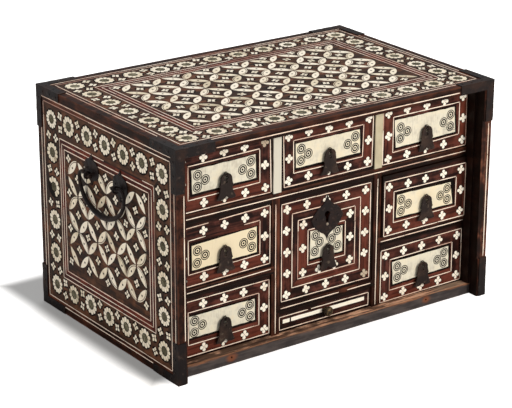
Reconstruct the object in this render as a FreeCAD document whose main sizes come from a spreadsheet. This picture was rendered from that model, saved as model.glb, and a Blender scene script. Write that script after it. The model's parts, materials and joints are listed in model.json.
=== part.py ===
"""Small table cabinet with nine drawers, a lock, drop pulls, side bails and corner irons.

Millimetres. X runs to the right, Y to the back and Z up. The origin is on the table, under the middle
of the case. The front is open, because the fall front that once closed it is lost.
"""

import FreeCAD, Part
import collections
import math
import os
import re

Vector = FreeCAD.Vector
Rotation = FreeCAD.Rotation

# Driving sizes. Each is written once, here, and goes into the sheet under its own name.
SIZES = {
    # The case
    "cabinet_width": 448.0,
    "cabinet_depth": 294.0,
    "cabinet_height": 274.0,
    "side_thick": 15.0,
    "top_thick": 14.0,
    "bottom_thick": 13.0,
    "back_thick": 10.0,
    "back_lap": 7.0,
    "front_rebate_depth": 14.0,
    "front_rebate_step": 3.0,
    "bottom_setback": 14.0,
    "hinge_nail_half": 1.1,
    "hinge_nail_depth": 7.0,
    "hinge_nail_spacing": 286.0,
    "hinge_nail_drop": 5.0,
    # The dividers
    "recess": 26.0,
    "main_shelf_thick": 11.0,
    "side_shelf_thick": 9.0,
    "centre_shelf_thick": 8.0,
    "top_row_less": 4.0,
    "slim_bay_height": 26.5,
    "partition_thick": 11.0,
    "upper_partition_spacing": 145.0,
    "lower_partition_spacing": 147.0,
    "housing_depth": 4.0,
    "housing_play": 0.1,
    "bone_strip_thick": 1.5,
    # The drawers
    "drawer_side_play": 0.5,
    "drawer_rest_gap": 0.3,
    "drawer_head_gap": 0.7,
    "drawer_stop_gap": 0.4,
    "drawer_sit_in": 3.0,
    "front_thick": 12.0,
    "front_lip": 5.0,
    "drawer_side_thick": 6.0,
    "drawer_back_thick": 6.0,
    "drawer_bottom_thick": 4.0,
    "drawer_side_drop": 1.5,
    # The bone on the drawers
    "plaque_length": 91.0,
    "plaque_height": 31.0,
    "centre_plaque_length": 48.0,
    "centre_plaque_height": 34.0,
    "centre_plaque_raise": 3.7,
    "plaque_thick": 1.5,
    "plaque_play": 0.2,
    "slim_left_strip_length": 45.0,
    "slim_right_strip_length": 53.5,
    "slim_strip_height": 4.6,
    "slim_strip_gap": 9.0,
    "slim_square_length": 10.0,
    "slim_square_gap": 2.0,
    # The drop pulls and their staples
    "pull_thick": 1.6,
    "pull_raise": 1.3,
    "pull_bar": 3.2,
    "pull_eye_radius": 2.2,
    "pull_piercing_half": 1.1,
    "pull_piercing_drop": 8.6,
    "pull_lobe_radius": 7.8,
    "pull_waist": 16.4,
    "pull_cusp": 18.6,
    "pull_cusp_drop": 12.6,
    "pull_waist_drop": 14.9,
    "pull_skirt": 25.6,
    "pull_flare_in": 0.5,
    "pull_drop": 29.2,
    "pull_notch": 4.2,
    "pull_toe": 1.4,
    "centre_pull_below_lock": 6.15,
    "staple_eye_radius": 2.7,
    "staple_strip_half": 0.6,
    "staple_leg_half": 1.0,
    "staple_leg_play": 0.2,
    "staple_stand_off": 0.5,
    "staple_clinch_length": 9.0,
    "staple_clinch_thick": 1.2,
    # The lock
    "lock_plate_width": 46.0,
    "lock_plate_rise": 27.8,
    "lock_plate_fall": 28.0,
    "lock_plate_wing_drop": 4.0,
    "lock_plate_thick": 1.2,
    "keyhole_drop": 29.3,
    "keyhole_radius": 3.7,
    "keyhole_slot_width": 4.2,
    "keyhole_slot_fall": 9.6,
    "lock_case_width": 54.0,
    "lock_case_height": 42.0,
    "lock_case_thick": 9.0,
    "lock_case_drop": 3.0,
    "lock_bolt_width": 14.0,
    "lock_bolt_thick": 4.4,
    "lock_bolt_length": 24.0,
    "lock_bolt_drop": 0.8,
    "lock_bolt_play": 0.3,
    "lock_bolt_throw": 6.0,
    # The knob of the slim drawer
    "knob_radius": 6.0,
    "knob_neck_radius": 2.6,
    "knob_neck_length": 4.6,
    "knob_head_thick": 5.4,
    "knob_edge_thick": 3.6,
    "knob_face_radius": 4.2,
    "knob_pin_radius": 1.6,
    "knob_pin_play": 0.2,
    "knob_rivet_radius": 3.2,
    "knob_rivet_thick": 1.2,
    # The bails, one on each side
    "bail_above_shelf": 11.0,
    "bail_forward": 4.0,
    "bail_eye_spacing": 61.0,
    "bail_half_width": 47.5,
    "bail_drop": 41.0,
    "bail_side_radius": 30.0,
    "bail_curl_radius": 8.0,
    "bail_hook_radius": 5.0,
    "bail_rod_radius": 3.6,
    "bail_pin_radius": 2.0,
    "bail_pin_length": 7.0,
    "bail_tip_radius": 2.7,
    "bail_tip_length": 2.6,
    "bail_station_step": 10.0,
    "bail_eye_radius": 3.65,
    "bail_strip_half": 1.2,
    "bail_eye_stand_off": 0.6,
    "bail_leg_half": 1.5,
    "bail_leg_play": 0.2,
    "bail_clinch_length": 14.0,
    "bail_clinch_width": 3.0,
    "bail_clinch_thick": 1.4,
    "bail_plate_width": 30.0,
    "bail_plate_height": 38.0,
    "bail_plate_thick": 1.2,
    "bail_plate_rise": 4.0,
    # The corner irons
    "iron_thick": 1.0,
    "iron_arm": 50.0,
    "iron_width": 10.0,
    "iron_top_edge_width": 10.5,
}

# Rows of drawers, one above the other.
ROWS = 3

# Angle through which each end of a bail turns down to its hook.
BAIL_HOOK_ANGLE = 35.0

# Flats round a forged rod, eye or hole.
FORGED_FLATS = 12

# Shares of drawer_sit_in by which each drawer sits in from the dividers' front plane.
SIT_IN_SHARES = {
    "top_left": 0.20,
    "top_middle": 0.10,
    "top_right": 0.15,
    "middle_left": 0.45,
    "middle_right": -0.80,
    "lower_left": 0.80,
    "lower_right": 0.15,
    "centre": 0.40,
    "slim": 0.70,
}

# Shares of half a plate's width and of its rise for one quarter of its outline: neck, knee, shoulder.
LOCK_PLATE_TOP_SHARES = ((0.26, 0.62), (0.60, 0.45), (0.85, 0.20))
LOCK_PLATE_TIP_SHARES = ((0.13, 0.76), (0.35, 0.63), (0.74, 0.37))
BAIL_PLATE_SHARES = ((0.14, 0.80), (0.42, 0.62), (0.88, 0.42))

doc = FreeCAD.newDocument("table_cabinet")
sheet = doc.addObject("Spreadsheet::Sheet", "Sizes")
for row, (alias, number) in enumerate(SIZES.items(), start=1):
    sheet.set(f"A{row}", alias)
    sheet.set(f"B{row}", str(number))
    sheet.setAlias(f"B{row}", alias)
doc.recompute()

pieces = []


def size(alias):
    """One size from the sheet, as a number."""
    return float(sheet.get(alias))


def bind(thing, prop, text):
    """Tie a property to the sheet: every plain word in the text is a size's name."""
    thing.setExpression(prop, re.sub(r"[a-z]\w*", lambda word: "Sizes." + word.group(), text))


def place(thing, x, y, z):
    for axis, text in zip("xyz", (x, y, z)):
        bind(thing, f"Placement.Base.{axis}", text)
    return thing


def keep(label, thing):
    """Mark an object as one sub-part of the cabinet, under the name its file takes."""
    thing.Label = label
    pieces.append(thing)
    return thing


def box(x, y, z, length, width, height):
    block = doc.addObject("Part::Box", "block")
    bind(block, "Length", length)
    bind(block, "Width", width)
    bind(block, "Height", height)
    return place(block, x, y, z)


def rod(x, y, z, radius, length, along):
    bar = doc.addObject("Part::Cylinder", "rod")
    bind(bar, "Radius", radius)
    bind(bar, "Height", length)
    bar.Placement.Rotation = Rotation(Vector(0, 0, 1), along)
    return place(bar, x, y, z)


def bar(x, y, z, half, length, along):
    """A square bar, or the hole for one, that starts at x, y, z and runs along X or Y."""
    thick = f"2 * ({half})"
    if along.x:
        return box(x, f"{y} - ({half})", f"{z} - ({half})", length, thick, thick)
    return box(f"{x} - ({half})", y, f"{z} - ({half})", thick, length, thick)


def eye(x, y, z, radius, strip, axis):
    """The eye of a staple, of square strip, hammered round a mandrel flat by flat."""
    start = dict(zip("xyz", (x, y, z)))
    along = "x" if axis.x else "y"
    start[along] = f"{start[along]} - {strip}"

    def forged(reach):
        disc = doc.addObject("Part::Prism", "eye")
        disc.Polygon = FORGED_FLATS
        bind(disc, "Circumradius", reach)
        bind(disc, "Height", f"2 * {strip}")
        disc.Placement.Rotation = Rotation(Vector(0, 0, 1), axis)
        return place(disc, start["x"], start["y"], start["z"])

    return cut(forged(f"{radius} + {strip}"), forged(f"{radius} - {strip}"))


def fused(*things):
    whole = doc.addObject("Part::MultiFuse", "whole")
    whole.Shapes = list(things)
    whole.Refine = True
    return whole


def cut(base, *tools):
    result = doc.addObject("Part::Cut", "cut")
    result.Base = base
    result.Tool = tools[0] if len(tools) == 1 else fused(*tools)
    result.Refine = True
    return result


def group(*things):
    together = doc.addObject("Part::Compound", "group")
    together.Links = list(things)
    return together


def mirrored(thing, normal):
    twin = doc.addObject("Part::Mirroring", "twin")
    twin.Source = thing
    twin.Normal = normal
    return twin


def sketch_in(body, role):
    """A new sketch on one of the body's own origin planes."""
    plane = next(f for f in body.Origin.OriginFeatures if f.Role == role)
    sketch = body.newObject("Sketcher::SketchObject", "outline")
    sketch.AttachmentSupport = (plane, [""])
    sketch.MapMode = "FlatFace"
    return sketch


def draw(sketch, stretches):
    """Each stretch is (start, middle, end), with no middle in a straight one."""
    for start, middle, end in stretches:
        if middle is None:
            sketch.addGeometry(Part.LineSegment(Vector(*start), Vector(*end)))
        else:
            sketch.addGeometry(Part.Arc(Vector(*start), Vector(*middle), Vector(*end)))


def padded(role, stretches, thickness):
    """A flat piece: its outline and any inner outlines, padded along its plane's normal."""
    body = doc.addObject("PartDesign::Body", "plate")
    sketch = sketch_in(body, role)
    draw(sketch, stretches)
    pad = body.newObject("PartDesign::Pad", "pad")
    pad.Profile = sketch
    bind(pad, "Length", thickness)
    return body


def chain(points):
    """Straight stretches through the points and back to the first."""
    return [(a, None, b) for a, b in zip(points, points[1:] + points[:1])]


def flats(up, radius):
    """The corners of a forged hole round a point on the upright axis."""
    angles = [2 * math.pi * corner / FORGED_FLATS for corner in range(FORGED_FLATS)]
    return [(radius * math.cos(angle), up + radius * math.sin(angle)) for angle in angles]


def both_halves(half):
    """The right half of an outline, drawn from the top down, with its mirror image."""
    def flip(point):
        return None if point is None else (-point[0], point[1])
    return half + [(flip(end), flip(middle), flip(start)) for start, middle, end in reversed(half)]


# Places worked out from the sizes, as text for the sheet to work out.
HALF_WIDTH = "(cabinet_width / 2)"
HALF_DEPTH = "(cabinet_depth / 2)"
INNER = "(cabinet_width / 2 - side_thick)"
ROOF = "(cabinet_height - top_thick)"
DIVIDER_FRONT = "(recess - cabinet_depth / 2)"
BACK_FRONT = "(cabinet_depth / 2 - back_thick)"
DIVIDER_DEPTH = f"({BACK_FRONT} - {DIVIDER_FRONT})"
BAYS_IN_ALL = f"({ROOF} - bottom_thick - side_shelf_thick - main_shelf_thick)"
BAY_HEIGHT = f"(({BAYS_IN_ALL} + top_row_less) / {ROWS})"
SIDE_SHELF_LEVEL = f"(bottom_thick + {BAY_HEIGHT})"
SIDE_SHELF_TOP = f"({SIDE_SHELF_LEVEL} + side_shelf_thick)"
MAIN_SHELF_LEVEL = f"({SIDE_SHELF_TOP} + {BAY_HEIGHT})"
MAIN_TOP = f"({MAIN_SHELF_LEVEL} + main_shelf_thick)"
CENTRE_SHELF_LEVEL = "(bottom_thick + slim_bay_height)"
CENTRE_SHELF_TOP = f"({CENTRE_SHELF_LEVEL} + centre_shelf_thick)"
BAIL_LEVEL = f"({MAIN_TOP} + bail_above_shelf)"
BAIL_EYES = ("(-bail_eye_spacing / 2 - bail_forward)", "(bail_eye_spacing / 2 - bail_forward)")
UPPER_NEAR = "((upper_partition_spacing - partition_thick) / 2)"
UPPER_FAR = "((upper_partition_spacing + partition_thick) / 2)"
LOWER_NEAR = "((lower_partition_spacing - partition_thick) / 2)"
LOWER_FAR = "((lower_partition_spacing + partition_thick) / 2)"
TONGUE = "(housing_depth - housing_play)"

# Each drawer's bay: left, right, floor and roof.
BAYS = {
    "top_left": (f"(-{INNER})", f"(-{UPPER_FAR})", MAIN_TOP, ROOF),
    "top_middle": (f"(-{UPPER_NEAR})", UPPER_NEAR, MAIN_TOP, ROOF),
    "top_right": (UPPER_FAR, INNER, MAIN_TOP, ROOF),
    "middle_left": (f"(-{INNER})", f"(-{LOWER_FAR})", SIDE_SHELF_TOP, MAIN_SHELF_LEVEL),
    "middle_right": (LOWER_FAR, INNER, SIDE_SHELF_TOP, MAIN_SHELF_LEVEL),
    "lower_left": (f"(-{INNER})", f"(-{LOWER_FAR})", "bottom_thick", SIDE_SHELF_LEVEL),
    "lower_right": (LOWER_FAR, INNER, "bottom_thick", SIDE_SHELF_LEVEL),
    "centre": (f"(-{LOWER_NEAR})", LOWER_NEAR, CENTRE_SHELF_TOP, MAIN_SHELF_LEVEL),
    "slim": (f"(-{LOWER_NEAR})", LOWER_NEAR, "bottom_thick", CENTRE_SHELF_LEVEL),
}


def face_of(drawer):
    """Where a drawer's front face stands."""
    return f"({DIVIDER_FRONT} + drawer_sit_in * {SIT_IN_SHARES[drawer]})"


# The case


def bail_leg_hole(near, y):
    return bar(near, y, BAIL_LEVEL, "bail_leg_half + bail_leg_play", "side_thick", Vector(1, 0, 0))


def side_board():
    """The left side: mitred to the top, rebated at front and back, with housings for the shelves."""
    outer = -size("cabinet_width") / 2
    inner = outer + size("side_thick")
    high = size("cabinet_height")
    profile = chain([(outer, 0), (inner, 0), (inner, high - size("top_thick")), (outer, high)])
    blank = place(padded("XZ_Plane", profile, "cabinet_depth"), "0", HALF_DEPTH, "0")

    def housing(level, thick):
        return box(f"-{INNER} - housing_depth", DIVIDER_FRONT, level, "housing_depth", DIVIDER_DEPTH, thick)

    front_rebate = box(f"-{INNER} - front_rebate_step", f"-{HALF_DEPTH}", "0",
                       "front_rebate_step", "front_rebate_depth", "cabinet_height")
    back_rebate = box(f"-{INNER} - back_lap", BACK_FRONT, "0",
                      "back_lap", "back_thick", "cabinet_height")
    bottom_rebate = box(f"-{INNER} - housing_depth", f"bottom_setback - {HALF_DEPTH}", "0",
                        "housing_depth", f"{BACK_FRONT} + {HALF_DEPTH} - bottom_setback", "bottom_thick")
    tools = [front_rebate, back_rebate, bottom_rebate,
             housing(MAIN_SHELF_LEVEL, "main_shelf_thick"),
             housing(SIDE_SHELF_LEVEL, "side_shelf_thick")]
    for y in BAIL_EYES:
        tools.append(bail_leg_hole(f"-{HALF_WIDTH}", y))
        tools.append(box(f"-{INNER} - bail_clinch_thick - bail_leg_play",
                         f"{y} - bail_clinch_width / 2 - bail_leg_play",
                         f"{BAIL_LEVEL} - bail_clinch_length / 2 - bail_leg_play",
                         "bail_clinch_thick + bail_leg_play",
                         "bail_clinch_width + 2 * bail_leg_play",
                         "bail_clinch_length + 2 * bail_leg_play"))
    return cut(blank, *tools)


def top_board():
    half = size("cabinet_width") / 2
    inner = half - size("side_thick")
    high = size("cabinet_height")
    low = high - size("top_thick")
    profile = chain([(-inner, low), (inner, low), (half, high), (-half, high)])
    blank = place(padded("XZ_Plane", profile, "cabinet_depth"), "0", HALF_DEPTH, "0")
    front_rebate = box(f"-{HALF_WIDTH}", f"-{HALF_DEPTH}", ROOF,
                       "cabinet_width", "front_rebate_depth", "front_rebate_step")
    back_rebate = box(f"-{HALF_WIDTH}", BACK_FRONT, ROOF, "cabinet_width", "back_thick", "back_lap")
    housings = [box(left, DIVIDER_FRONT, ROOF, "partition_thick", DIVIDER_DEPTH, "housing_depth")
                for left in (f"-{UPPER_FAR}", UPPER_NEAR)]
    return cut(blank, front_rebate, back_rebate, *housings)


def bottom_board():
    reach = f"({INNER} + {TONGUE})"
    blank = box(f"-{reach}", f"bottom_setback - {HALF_DEPTH}", "0",
                f"2 * {reach}", f"{BACK_FRONT} + {HALF_DEPTH} - bottom_setback", "bottom_thick")
    level = "bottom_thick - housing_depth"
    housings = [box(left, DIVIDER_FRONT, level, "partition_thick", DIVIDER_DEPTH, "housing_depth")
                for left in (f"-{LOWER_FAR}", LOWER_NEAR)]
    nails = [bar(x, f"bottom_setback - {HALF_DEPTH}", "bottom_thick - hinge_nail_drop",
                 "hinge_nail_half", "hinge_nail_depth", Vector(0, 1, 0))
             for x in ("-hinge_nail_spacing / 2", "hinge_nail_spacing / 2")]
    return cut(blank, *housings, *nails)


def back_board():
    reach = f"({INNER} + back_lap - housing_play)"
    return box(f"-{reach}", BACK_FRONT, "0",
               f"2 * {reach}", "back_thick", f"{ROOF} + back_lap - housing_play")


def main_shelf():
    reach = f"({INNER} + {TONGUE})"
    blank = box(f"-{reach}", DIVIDER_FRONT, MAIN_SHELF_LEVEL,
                f"2 * {reach}", DIVIDER_DEPTH, "main_shelf_thick")
    upper = [box(left, DIVIDER_FRONT, f"{MAIN_TOP} - housing_depth",
                 "partition_thick", DIVIDER_DEPTH, "housing_depth")
             for left in (f"-{UPPER_FAR}", UPPER_NEAR)]
    lower = [box(left, DIVIDER_FRONT, MAIN_SHELF_LEVEL,
                 "partition_thick", DIVIDER_DEPTH, "housing_depth")
             for left in (f"-{LOWER_FAR}", LOWER_NEAR)]
    mortise = box("-lock_bolt_width / 2 - lock_bolt_play", f"{bolt_front()} - lock_bolt_play",
                  MAIN_SHELF_LEVEL,
                  "lock_bolt_width + 2 * lock_bolt_play",
                  "lock_bolt_thick + 2 * lock_bolt_play",
                  "lock_bolt_throw")
    return cut(blank, *upper, *lower, mortise)


def lower_shelves():
    def side_shelf(left):
        return box(left, DIVIDER_FRONT, SIDE_SHELF_LEVEL,
                   f"{INNER} - {LOWER_FAR} + 2 * {TONGUE}", DIVIDER_DEPTH, "side_shelf_thick")
    centre = box(f"-{LOWER_NEAR} - {TONGUE}", DIVIDER_FRONT, CENTRE_SHELF_LEVEL,
                 f"2 * ({LOWER_NEAR} + {TONGUE})", DIVIDER_DEPTH, "centre_shelf_thick")
    return group(side_shelf(f"-{INNER} - {TONGUE}"), side_shelf(f"{LOWER_FAR} - {TONGUE}"), centre)


def partitions():
    upright = [box(left, DIVIDER_FRONT, f"{MAIN_TOP} - {TONGUE}", "partition_thick", DIVIDER_DEPTH,
                   f"{ROOF} - {MAIN_TOP} + 2 * {TONGUE}")
               for left in (f"-{UPPER_FAR}", UPPER_NEAR)]
    for left in (f"-{LOWER_FAR}", LOWER_NEAR):
        blank = box(left, DIVIDER_FRONT, f"bottom_thick - {TONGUE}", "partition_thick", DIVIDER_DEPTH,
                    f"{MAIN_SHELF_LEVEL} - bottom_thick + 2 * {TONGUE}")
        outer_side = left.startswith("-")
        side_housing = box(left if outer_side else f"{LOWER_FAR} - housing_depth", DIVIDER_FRONT,
                           SIDE_SHELF_LEVEL, "housing_depth", DIVIDER_DEPTH, "side_shelf_thick")
        centre_housing = box(f"-{LOWER_NEAR} - housing_depth" if outer_side else left, DIVIDER_FRONT,
                             CENTRE_SHELF_LEVEL, "housing_depth", DIVIDER_DEPTH, "centre_shelf_thick")
        upright.append(cut(blank, side_housing, centre_housing))
    return group(*upright)


def bone_strips():
    return group(*[box(left, f"{DIVIDER_FRONT} - bone_strip_thick", MAIN_TOP,
                       "partition_thick", "bone_strip_thick", f"{ROOF} - {MAIN_TOP}")
                   for left in (f"-{UPPER_FAR}", UPPER_NEAR)])


def upper_iron():
    """The iron on the upper front left corner: two strips on each of the three faces."""
    left = f"-{HALF_WIDTH} - iron_thick"
    front = f"-{HALF_DEPTH} - iron_thick"
    arm = "iron_arm + iron_thick"
    width = "iron_width + iron_thick"
    return fused(
        box(left, front, "cabinet_height", arm, width, "iron_thick"),
        box(left, front, "cabinet_height", width, arm, "iron_thick"),
        box(left, front, "cabinet_height - iron_width", "iron_thick", arm, width),
        box(left, front, "cabinet_height - iron_arm", "iron_thick", width, arm),
        box(left, front, "cabinet_height - iron_top_edge_width", arm, "iron_thick",
            "iron_top_edge_width + iron_thick"),
        box(left, front, "cabinet_height - iron_arm", width, "iron_thick", arm))


def lower_iron():
    """The iron on the lower front left corner: none of it under the case, which rests on wood."""
    left = f"-{HALF_WIDTH} - iron_thick"
    front = f"-{HALF_DEPTH} - iron_thick"
    arm = "iron_arm + iron_thick"
    width = "iron_width + iron_thick"
    return fused(
        box(left, front, "0", "iron_thick", arm, "iron_width"),
        box(left, front, "0", "iron_thick", width, "iron_arm"),
        box(left, front, "0", width, "iron_thick", "iron_arm"))


def corner_irons():
    irons = []
    for iron in (upper_iron(), lower_iron()):
        right = mirrored(iron, Vector(1, 0, 0))
        irons += [iron, right, mirrored(iron, Vector(0, 1, 0)), mirrored(right, Vector(0, 1, 0))]
    return group(*irons)


# The drawers


Front = collections.namedtuple("Front", "left width under height face")


def front_of(drawer):
    """Left edge, width, underside and height of a drawer's front, and where its face stands."""
    left, right, floor, roof = BAYS[drawer]
    return Front(f"({left} + drawer_side_play)",
                 f"({right} - {left} - 2 * drawer_side_play)",
                 f"({floor} + drawer_rest_gap)",
                 f"({roof} - {floor} - drawer_rest_gap - drawer_head_gap)",
                 face_of(drawer))


def plaque_place(drawer):
    """Left end, underside, length and height of the bone plaque on a drawer."""
    front = front_of(drawer)
    length, tall = "plaque_length", "plaque_height"
    level = f"({front.under} + {front.height} / 2)"
    if drawer == "centre":
        length, tall = "centre_plaque_length", "centre_plaque_height"
        level = f"({pull_place(drawer)[2]} + centre_plaque_raise)"
    return f"({front.left} + ({front.width} - {length}) / 2)", f"({level} - {tall} / 2)", length, tall


def pull_place(drawer):
    """The centre of the staple's eye, on which the pull swings."""
    front = front_of(drawer)
    level = f"({front.under} + {front.height} / 2 + pull_raise)"
    if drawer == "centre":
        level = f"({keyhole_level()} - lock_plate_wing_drop - lock_plate_fall - centre_pull_below_lock)"
    return (f"({front.left} + {front.width} / 2)",
            f"({front.face} - staple_eye_radius - staple_strip_half - staple_stand_off)",
            level)


def keyhole_level():
    front = front_of("centre")
    return f"({front.under} + {front.height} - keyhole_drop)"


def keyhole_tools(face, depth):
    """A round hole with a slot below it, as deep as asked from the drawer's face."""
    level = keyhole_level()
    return [rod("0", face, level, "keyhole_radius", depth, Vector(0, 1, 0)),
            box("-keyhole_slot_width / 2", face, f"{level} - keyhole_slot_fall",
                "keyhole_slot_width", depth, "keyhole_slot_fall")]


def drawer_front(drawer):
    left, width, under, height, face = front_of(drawer)
    blank = box(left, face, under, width, "front_thick", height)
    behind = "(front_thick - front_lip)"
    tools = [box(left, f"{face} + front_lip", under, "drawer_side_thick", behind, height),
             box(f"{left} + {width} - drawer_side_thick", f"{face} + front_lip", under,
                 "drawer_side_thick", behind, height),
             box(left, f"{face} + front_lip", under, width, behind, "drawer_bottom_thick")]
    if drawer == "slim":
        level = f"({under} + {height} / 2)"
        tools.append(rod("0", face, level, "knob_pin_radius + knob_pin_play", "front_thick",
                         Vector(0, 1, 0)))
        for x, length in slim_strip_places():
            tools.append(box(x, face, f"{level} - slim_strip_height / 2",
                             length, "plaque_thick", "slim_strip_height"))
        return cut(blank, *tools)
    start, base, length, tall = plaque_place(drawer)
    x, y, z = pull_place(drawer)
    tools.append(box(f"{start} - plaque_play", face, f"{base} - plaque_play",
                     f"{length} + 2 * plaque_play", "plaque_thick", f"{tall} + 2 * plaque_play"))
    tools.append(bar(x, face, z, "staple_leg_half + staple_leg_play", "front_thick", Vector(0, 1, 0)))
    if drawer == "centre":
        tools += keyhole_tools(face, "front_thick")
    return cut(blank, *tools)


def drawer_box(drawer):
    """Two sides, a back between them and a bottom under all three."""
    left, width, under, height, face = front_of(drawer)
    start = f"({face} + front_lip)"
    length = f"({BACK_FRONT} - drawer_stop_gap - {start})"
    base = f"({under} + drawer_bottom_thick)"
    tall = f"({height} - drawer_bottom_thick - drawer_side_drop)"
    return group(
        box(left, start, base, "drawer_side_thick", length, tall),
        box(f"{left} + {width} - drawer_side_thick", start, base, "drawer_side_thick", length, tall),
        box(f"{left} + drawer_side_thick", f"{BACK_FRONT} - drawer_stop_gap - drawer_back_thick", base,
            f"{width} - 2 * drawer_side_thick", "drawer_back_thick", tall),
        box(left, start, under, width, length, "drawer_bottom_thick"))


def plaque(drawer):
    face = face_of(drawer)
    start, base, length, tall = plaque_place(drawer)
    x, y, z = pull_place(drawer)
    slab = box(start, face, base, length, "plaque_thick", tall)
    return cut(slab, bar(x, face, z, "staple_leg_half + staple_leg_play", "plaque_thick", Vector(0, 1, 0)))


def slim_strip_places():
    """Left ends and lengths of the two strips and the square on the slim drawer."""
    return [("slim_strip_gap / 2", "slim_right_strip_length"),
            ("-slim_strip_gap / 2 - slim_left_strip_length", "slim_left_strip_length"),
            ("-slim_strip_gap / 2 - slim_left_strip_length - slim_square_gap - slim_square_length",
             "slim_square_length")]


def slim_strips():
    front = front_of("slim")
    return group(*[box(x, front.face, f"{front.under} + ({front.height} - slim_strip_height) / 2",
                       length, "plaque_thick", "slim_strip_height")
                   for x, length in slim_strip_places()])


def drop_pull(drawer):
    """A bell-shaped plate, its eye near the top, with a small piercing below.

    Its own origin is on the axis that it swings on.
    """
    top = size("pull_bar") / 2
    lobe = size("pull_lobe_radius")
    lobe_level = top - lobe
    waist = size("pull_waist") / 2
    cusp = size("pull_cusp") / 2
    cusp_level = -size("pull_cusp_drop")
    waist_level = -size("pull_waist_drop")
    skirt = size("pull_skirt") / 2
    flare = (waist + skirt) / 2 - size("pull_flare_in")
    bottom = -size("pull_drop")
    toe_level = bottom + size("pull_toe")
    notch_level = bottom + size("pull_notch")
    slant = math.sqrt(0.5)
    flare_level = (waist_level + toe_level) / 2
    half = [
        ((0, top), (lobe * slant, lobe_level + lobe * slant), (lobe, lobe_level)),
        ((lobe, lobe_level), None, (cusp, cusp_level)),
        ((cusp, cusp_level), None, (waist, waist_level)),
        ((waist, waist_level), None, (flare, flare_level)),
        ((flare, flare_level), None, (skirt, toe_level)),
        ((skirt, toe_level), (skirt / 2, bottom), (0, notch_level)),
    ]
    hole = size("pull_eye_radius")
    eye_hole = chain(flats(-top - hole, hole))
    half_hole = size("pull_piercing_half")
    level = -size("pull_piercing_drop")
    piercing = chain([(0, level + half_hole), (half_hole, level),
                      (0, level - half_hole), (-half_hole, level)])
    body = padded("XZ_Plane", both_halves(half) + eye_hole + piercing, "pull_thick")
    x, y, z = pull_place(drawer)
    return place(body, x, f"{y} + pull_thick / 2", z)


def pull_staple(drawer):
    """A strip-iron eye, its leg through the front, and the leg's end clinched over inside the drawer."""
    x, y, z = pull_place(drawer)
    inside = f"({face_of(drawer)} + front_thick)"
    return fused(
        eye(x, y, z, "staple_eye_radius", "staple_strip_half", Vector(1, 0, 0)),
        bar(x, f"{y} + staple_eye_radius", z, "staple_leg_half",
            f"{inside} + staple_clinch_thick - {y} - staple_eye_radius", Vector(0, 1, 0)),
        box(f"{x} - staple_leg_half", inside, f"{z} - staple_clinch_length / 2",
            "2 * staple_leg_half", "staple_clinch_thick", "staple_clinch_length"))


def knob():
    """A turned knob with its pin riveted over inside the drawer."""
    head = size("knob_radius")
    neck = size("knob_neck_radius")
    pin = size("knob_pin_radius")
    rivet = size("knob_rivet_radius")
    neck_front = -size("knob_neck_length")
    head_front = neck_front - size("knob_head_thick")
    edge = neck_front - size("knob_edge_thick")
    flat = size("knob_face_radius")
    inside = size("front_thick")
    rivet_back = inside + size("knob_rivet_thick")
    half = chain([(0, head_front), (0, rivet_back), (rivet, rivet_back), (rivet, inside),
                  (pin, inside), (pin, 0), (neck, 0), (neck, neck_front), (head, neck_front),
                  (head, edge), (flat, head_front)])
    body = doc.addObject("PartDesign::Body", "turning")
    sketch = sketch_in(body, "XY_Plane")
    draw(sketch, half)
    turned = body.newObject("PartDesign::Revolution", "revolution")
    turned.Profile = sketch
    turned.ReferenceAxis = (sketch, ["V_Axis"])
    front = front_of("slim")
    return place(body, "0", front.face, f"{front.under} + {front.height} / 2")


# The lock of the centre drawer


def ogee_quarter(half_width, rise, shares):
    """One quarter of an ogee lozenge, from its point to its wing."""
    neck, knee, shoulder = [(half_width * x, rise * z) for x, z in shares]
    return [((0, rise), neck, knee), (knee, shoulder, (half_width, 0))]


def ogee_outline(half_width, rise, fall, top_shares, tip_shares):
    upper = ogee_quarter(half_width, rise, top_shares)
    lower = ogee_quarter(half_width, -fall, tip_shares)
    return both_halves(upper + [(end, middle, start) for start, middle, end in reversed(lower)])


def lock_plate():
    """The plate is widest a little below the keyhole's round part."""
    outline = ogee_outline(size("lock_plate_width") / 2, size("lock_plate_rise"), size("lock_plate_fall"),
                           LOCK_PLATE_TOP_SHARES, LOCK_PLATE_TIP_SHARES)
    face = face_of("centre")
    body = place(padded("XZ_Plane", outline, "lock_plate_thick"), "0", face,
                 f"{keyhole_level()} - lock_plate_wing_drop")
    return cut(body, *keyhole_tools(f"{face} - lock_plate_thick", "lock_plate_thick"))


def bolt_front():
    """The front of the bolt, in the middle of the lock case's thickness."""
    return f"({face_of('centre')} + front_thick + (lock_case_thick - lock_bolt_thick) / 2)"


def lock_case():
    front = front_of("centre")
    start = f"({front.face} + front_thick)"
    top = f"({front.under} + {front.height} - lock_case_drop)"
    case = box("-lock_case_width / 2", start, f"{top} - lock_case_height",
               "lock_case_width", "lock_case_thick", "lock_case_height")
    depth = "(lock_bolt_length + lock_bolt_drop - lock_case_drop + lock_bolt_play)"
    channel = box("-lock_bolt_width / 2 - lock_bolt_play", f"{bolt_front()} - lock_bolt_play",
                  f"{top} - {depth}",
                  "lock_bolt_width + 2 * lock_bolt_play", "lock_bolt_thick + 2 * lock_bolt_play", depth)
    return cut(case, channel, *keyhole_tools(start, "(lock_case_thick - lock_bolt_thick) / 2"))


def lock_bolt():
    front = front_of("centre")
    return box("-lock_bolt_width / 2", bolt_front(),
               f"{front.under} + {front.height} - lock_bolt_drop - lock_bolt_length",
               "lock_bolt_width", "lock_bolt_thick", "lock_bolt_length")


# The side handles


BAIL_AXIS = f"({HALF_WIDTH} + bail_plate_thick + bail_eye_stand_off + bail_eye_radius + bail_strip_half)"


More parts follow.
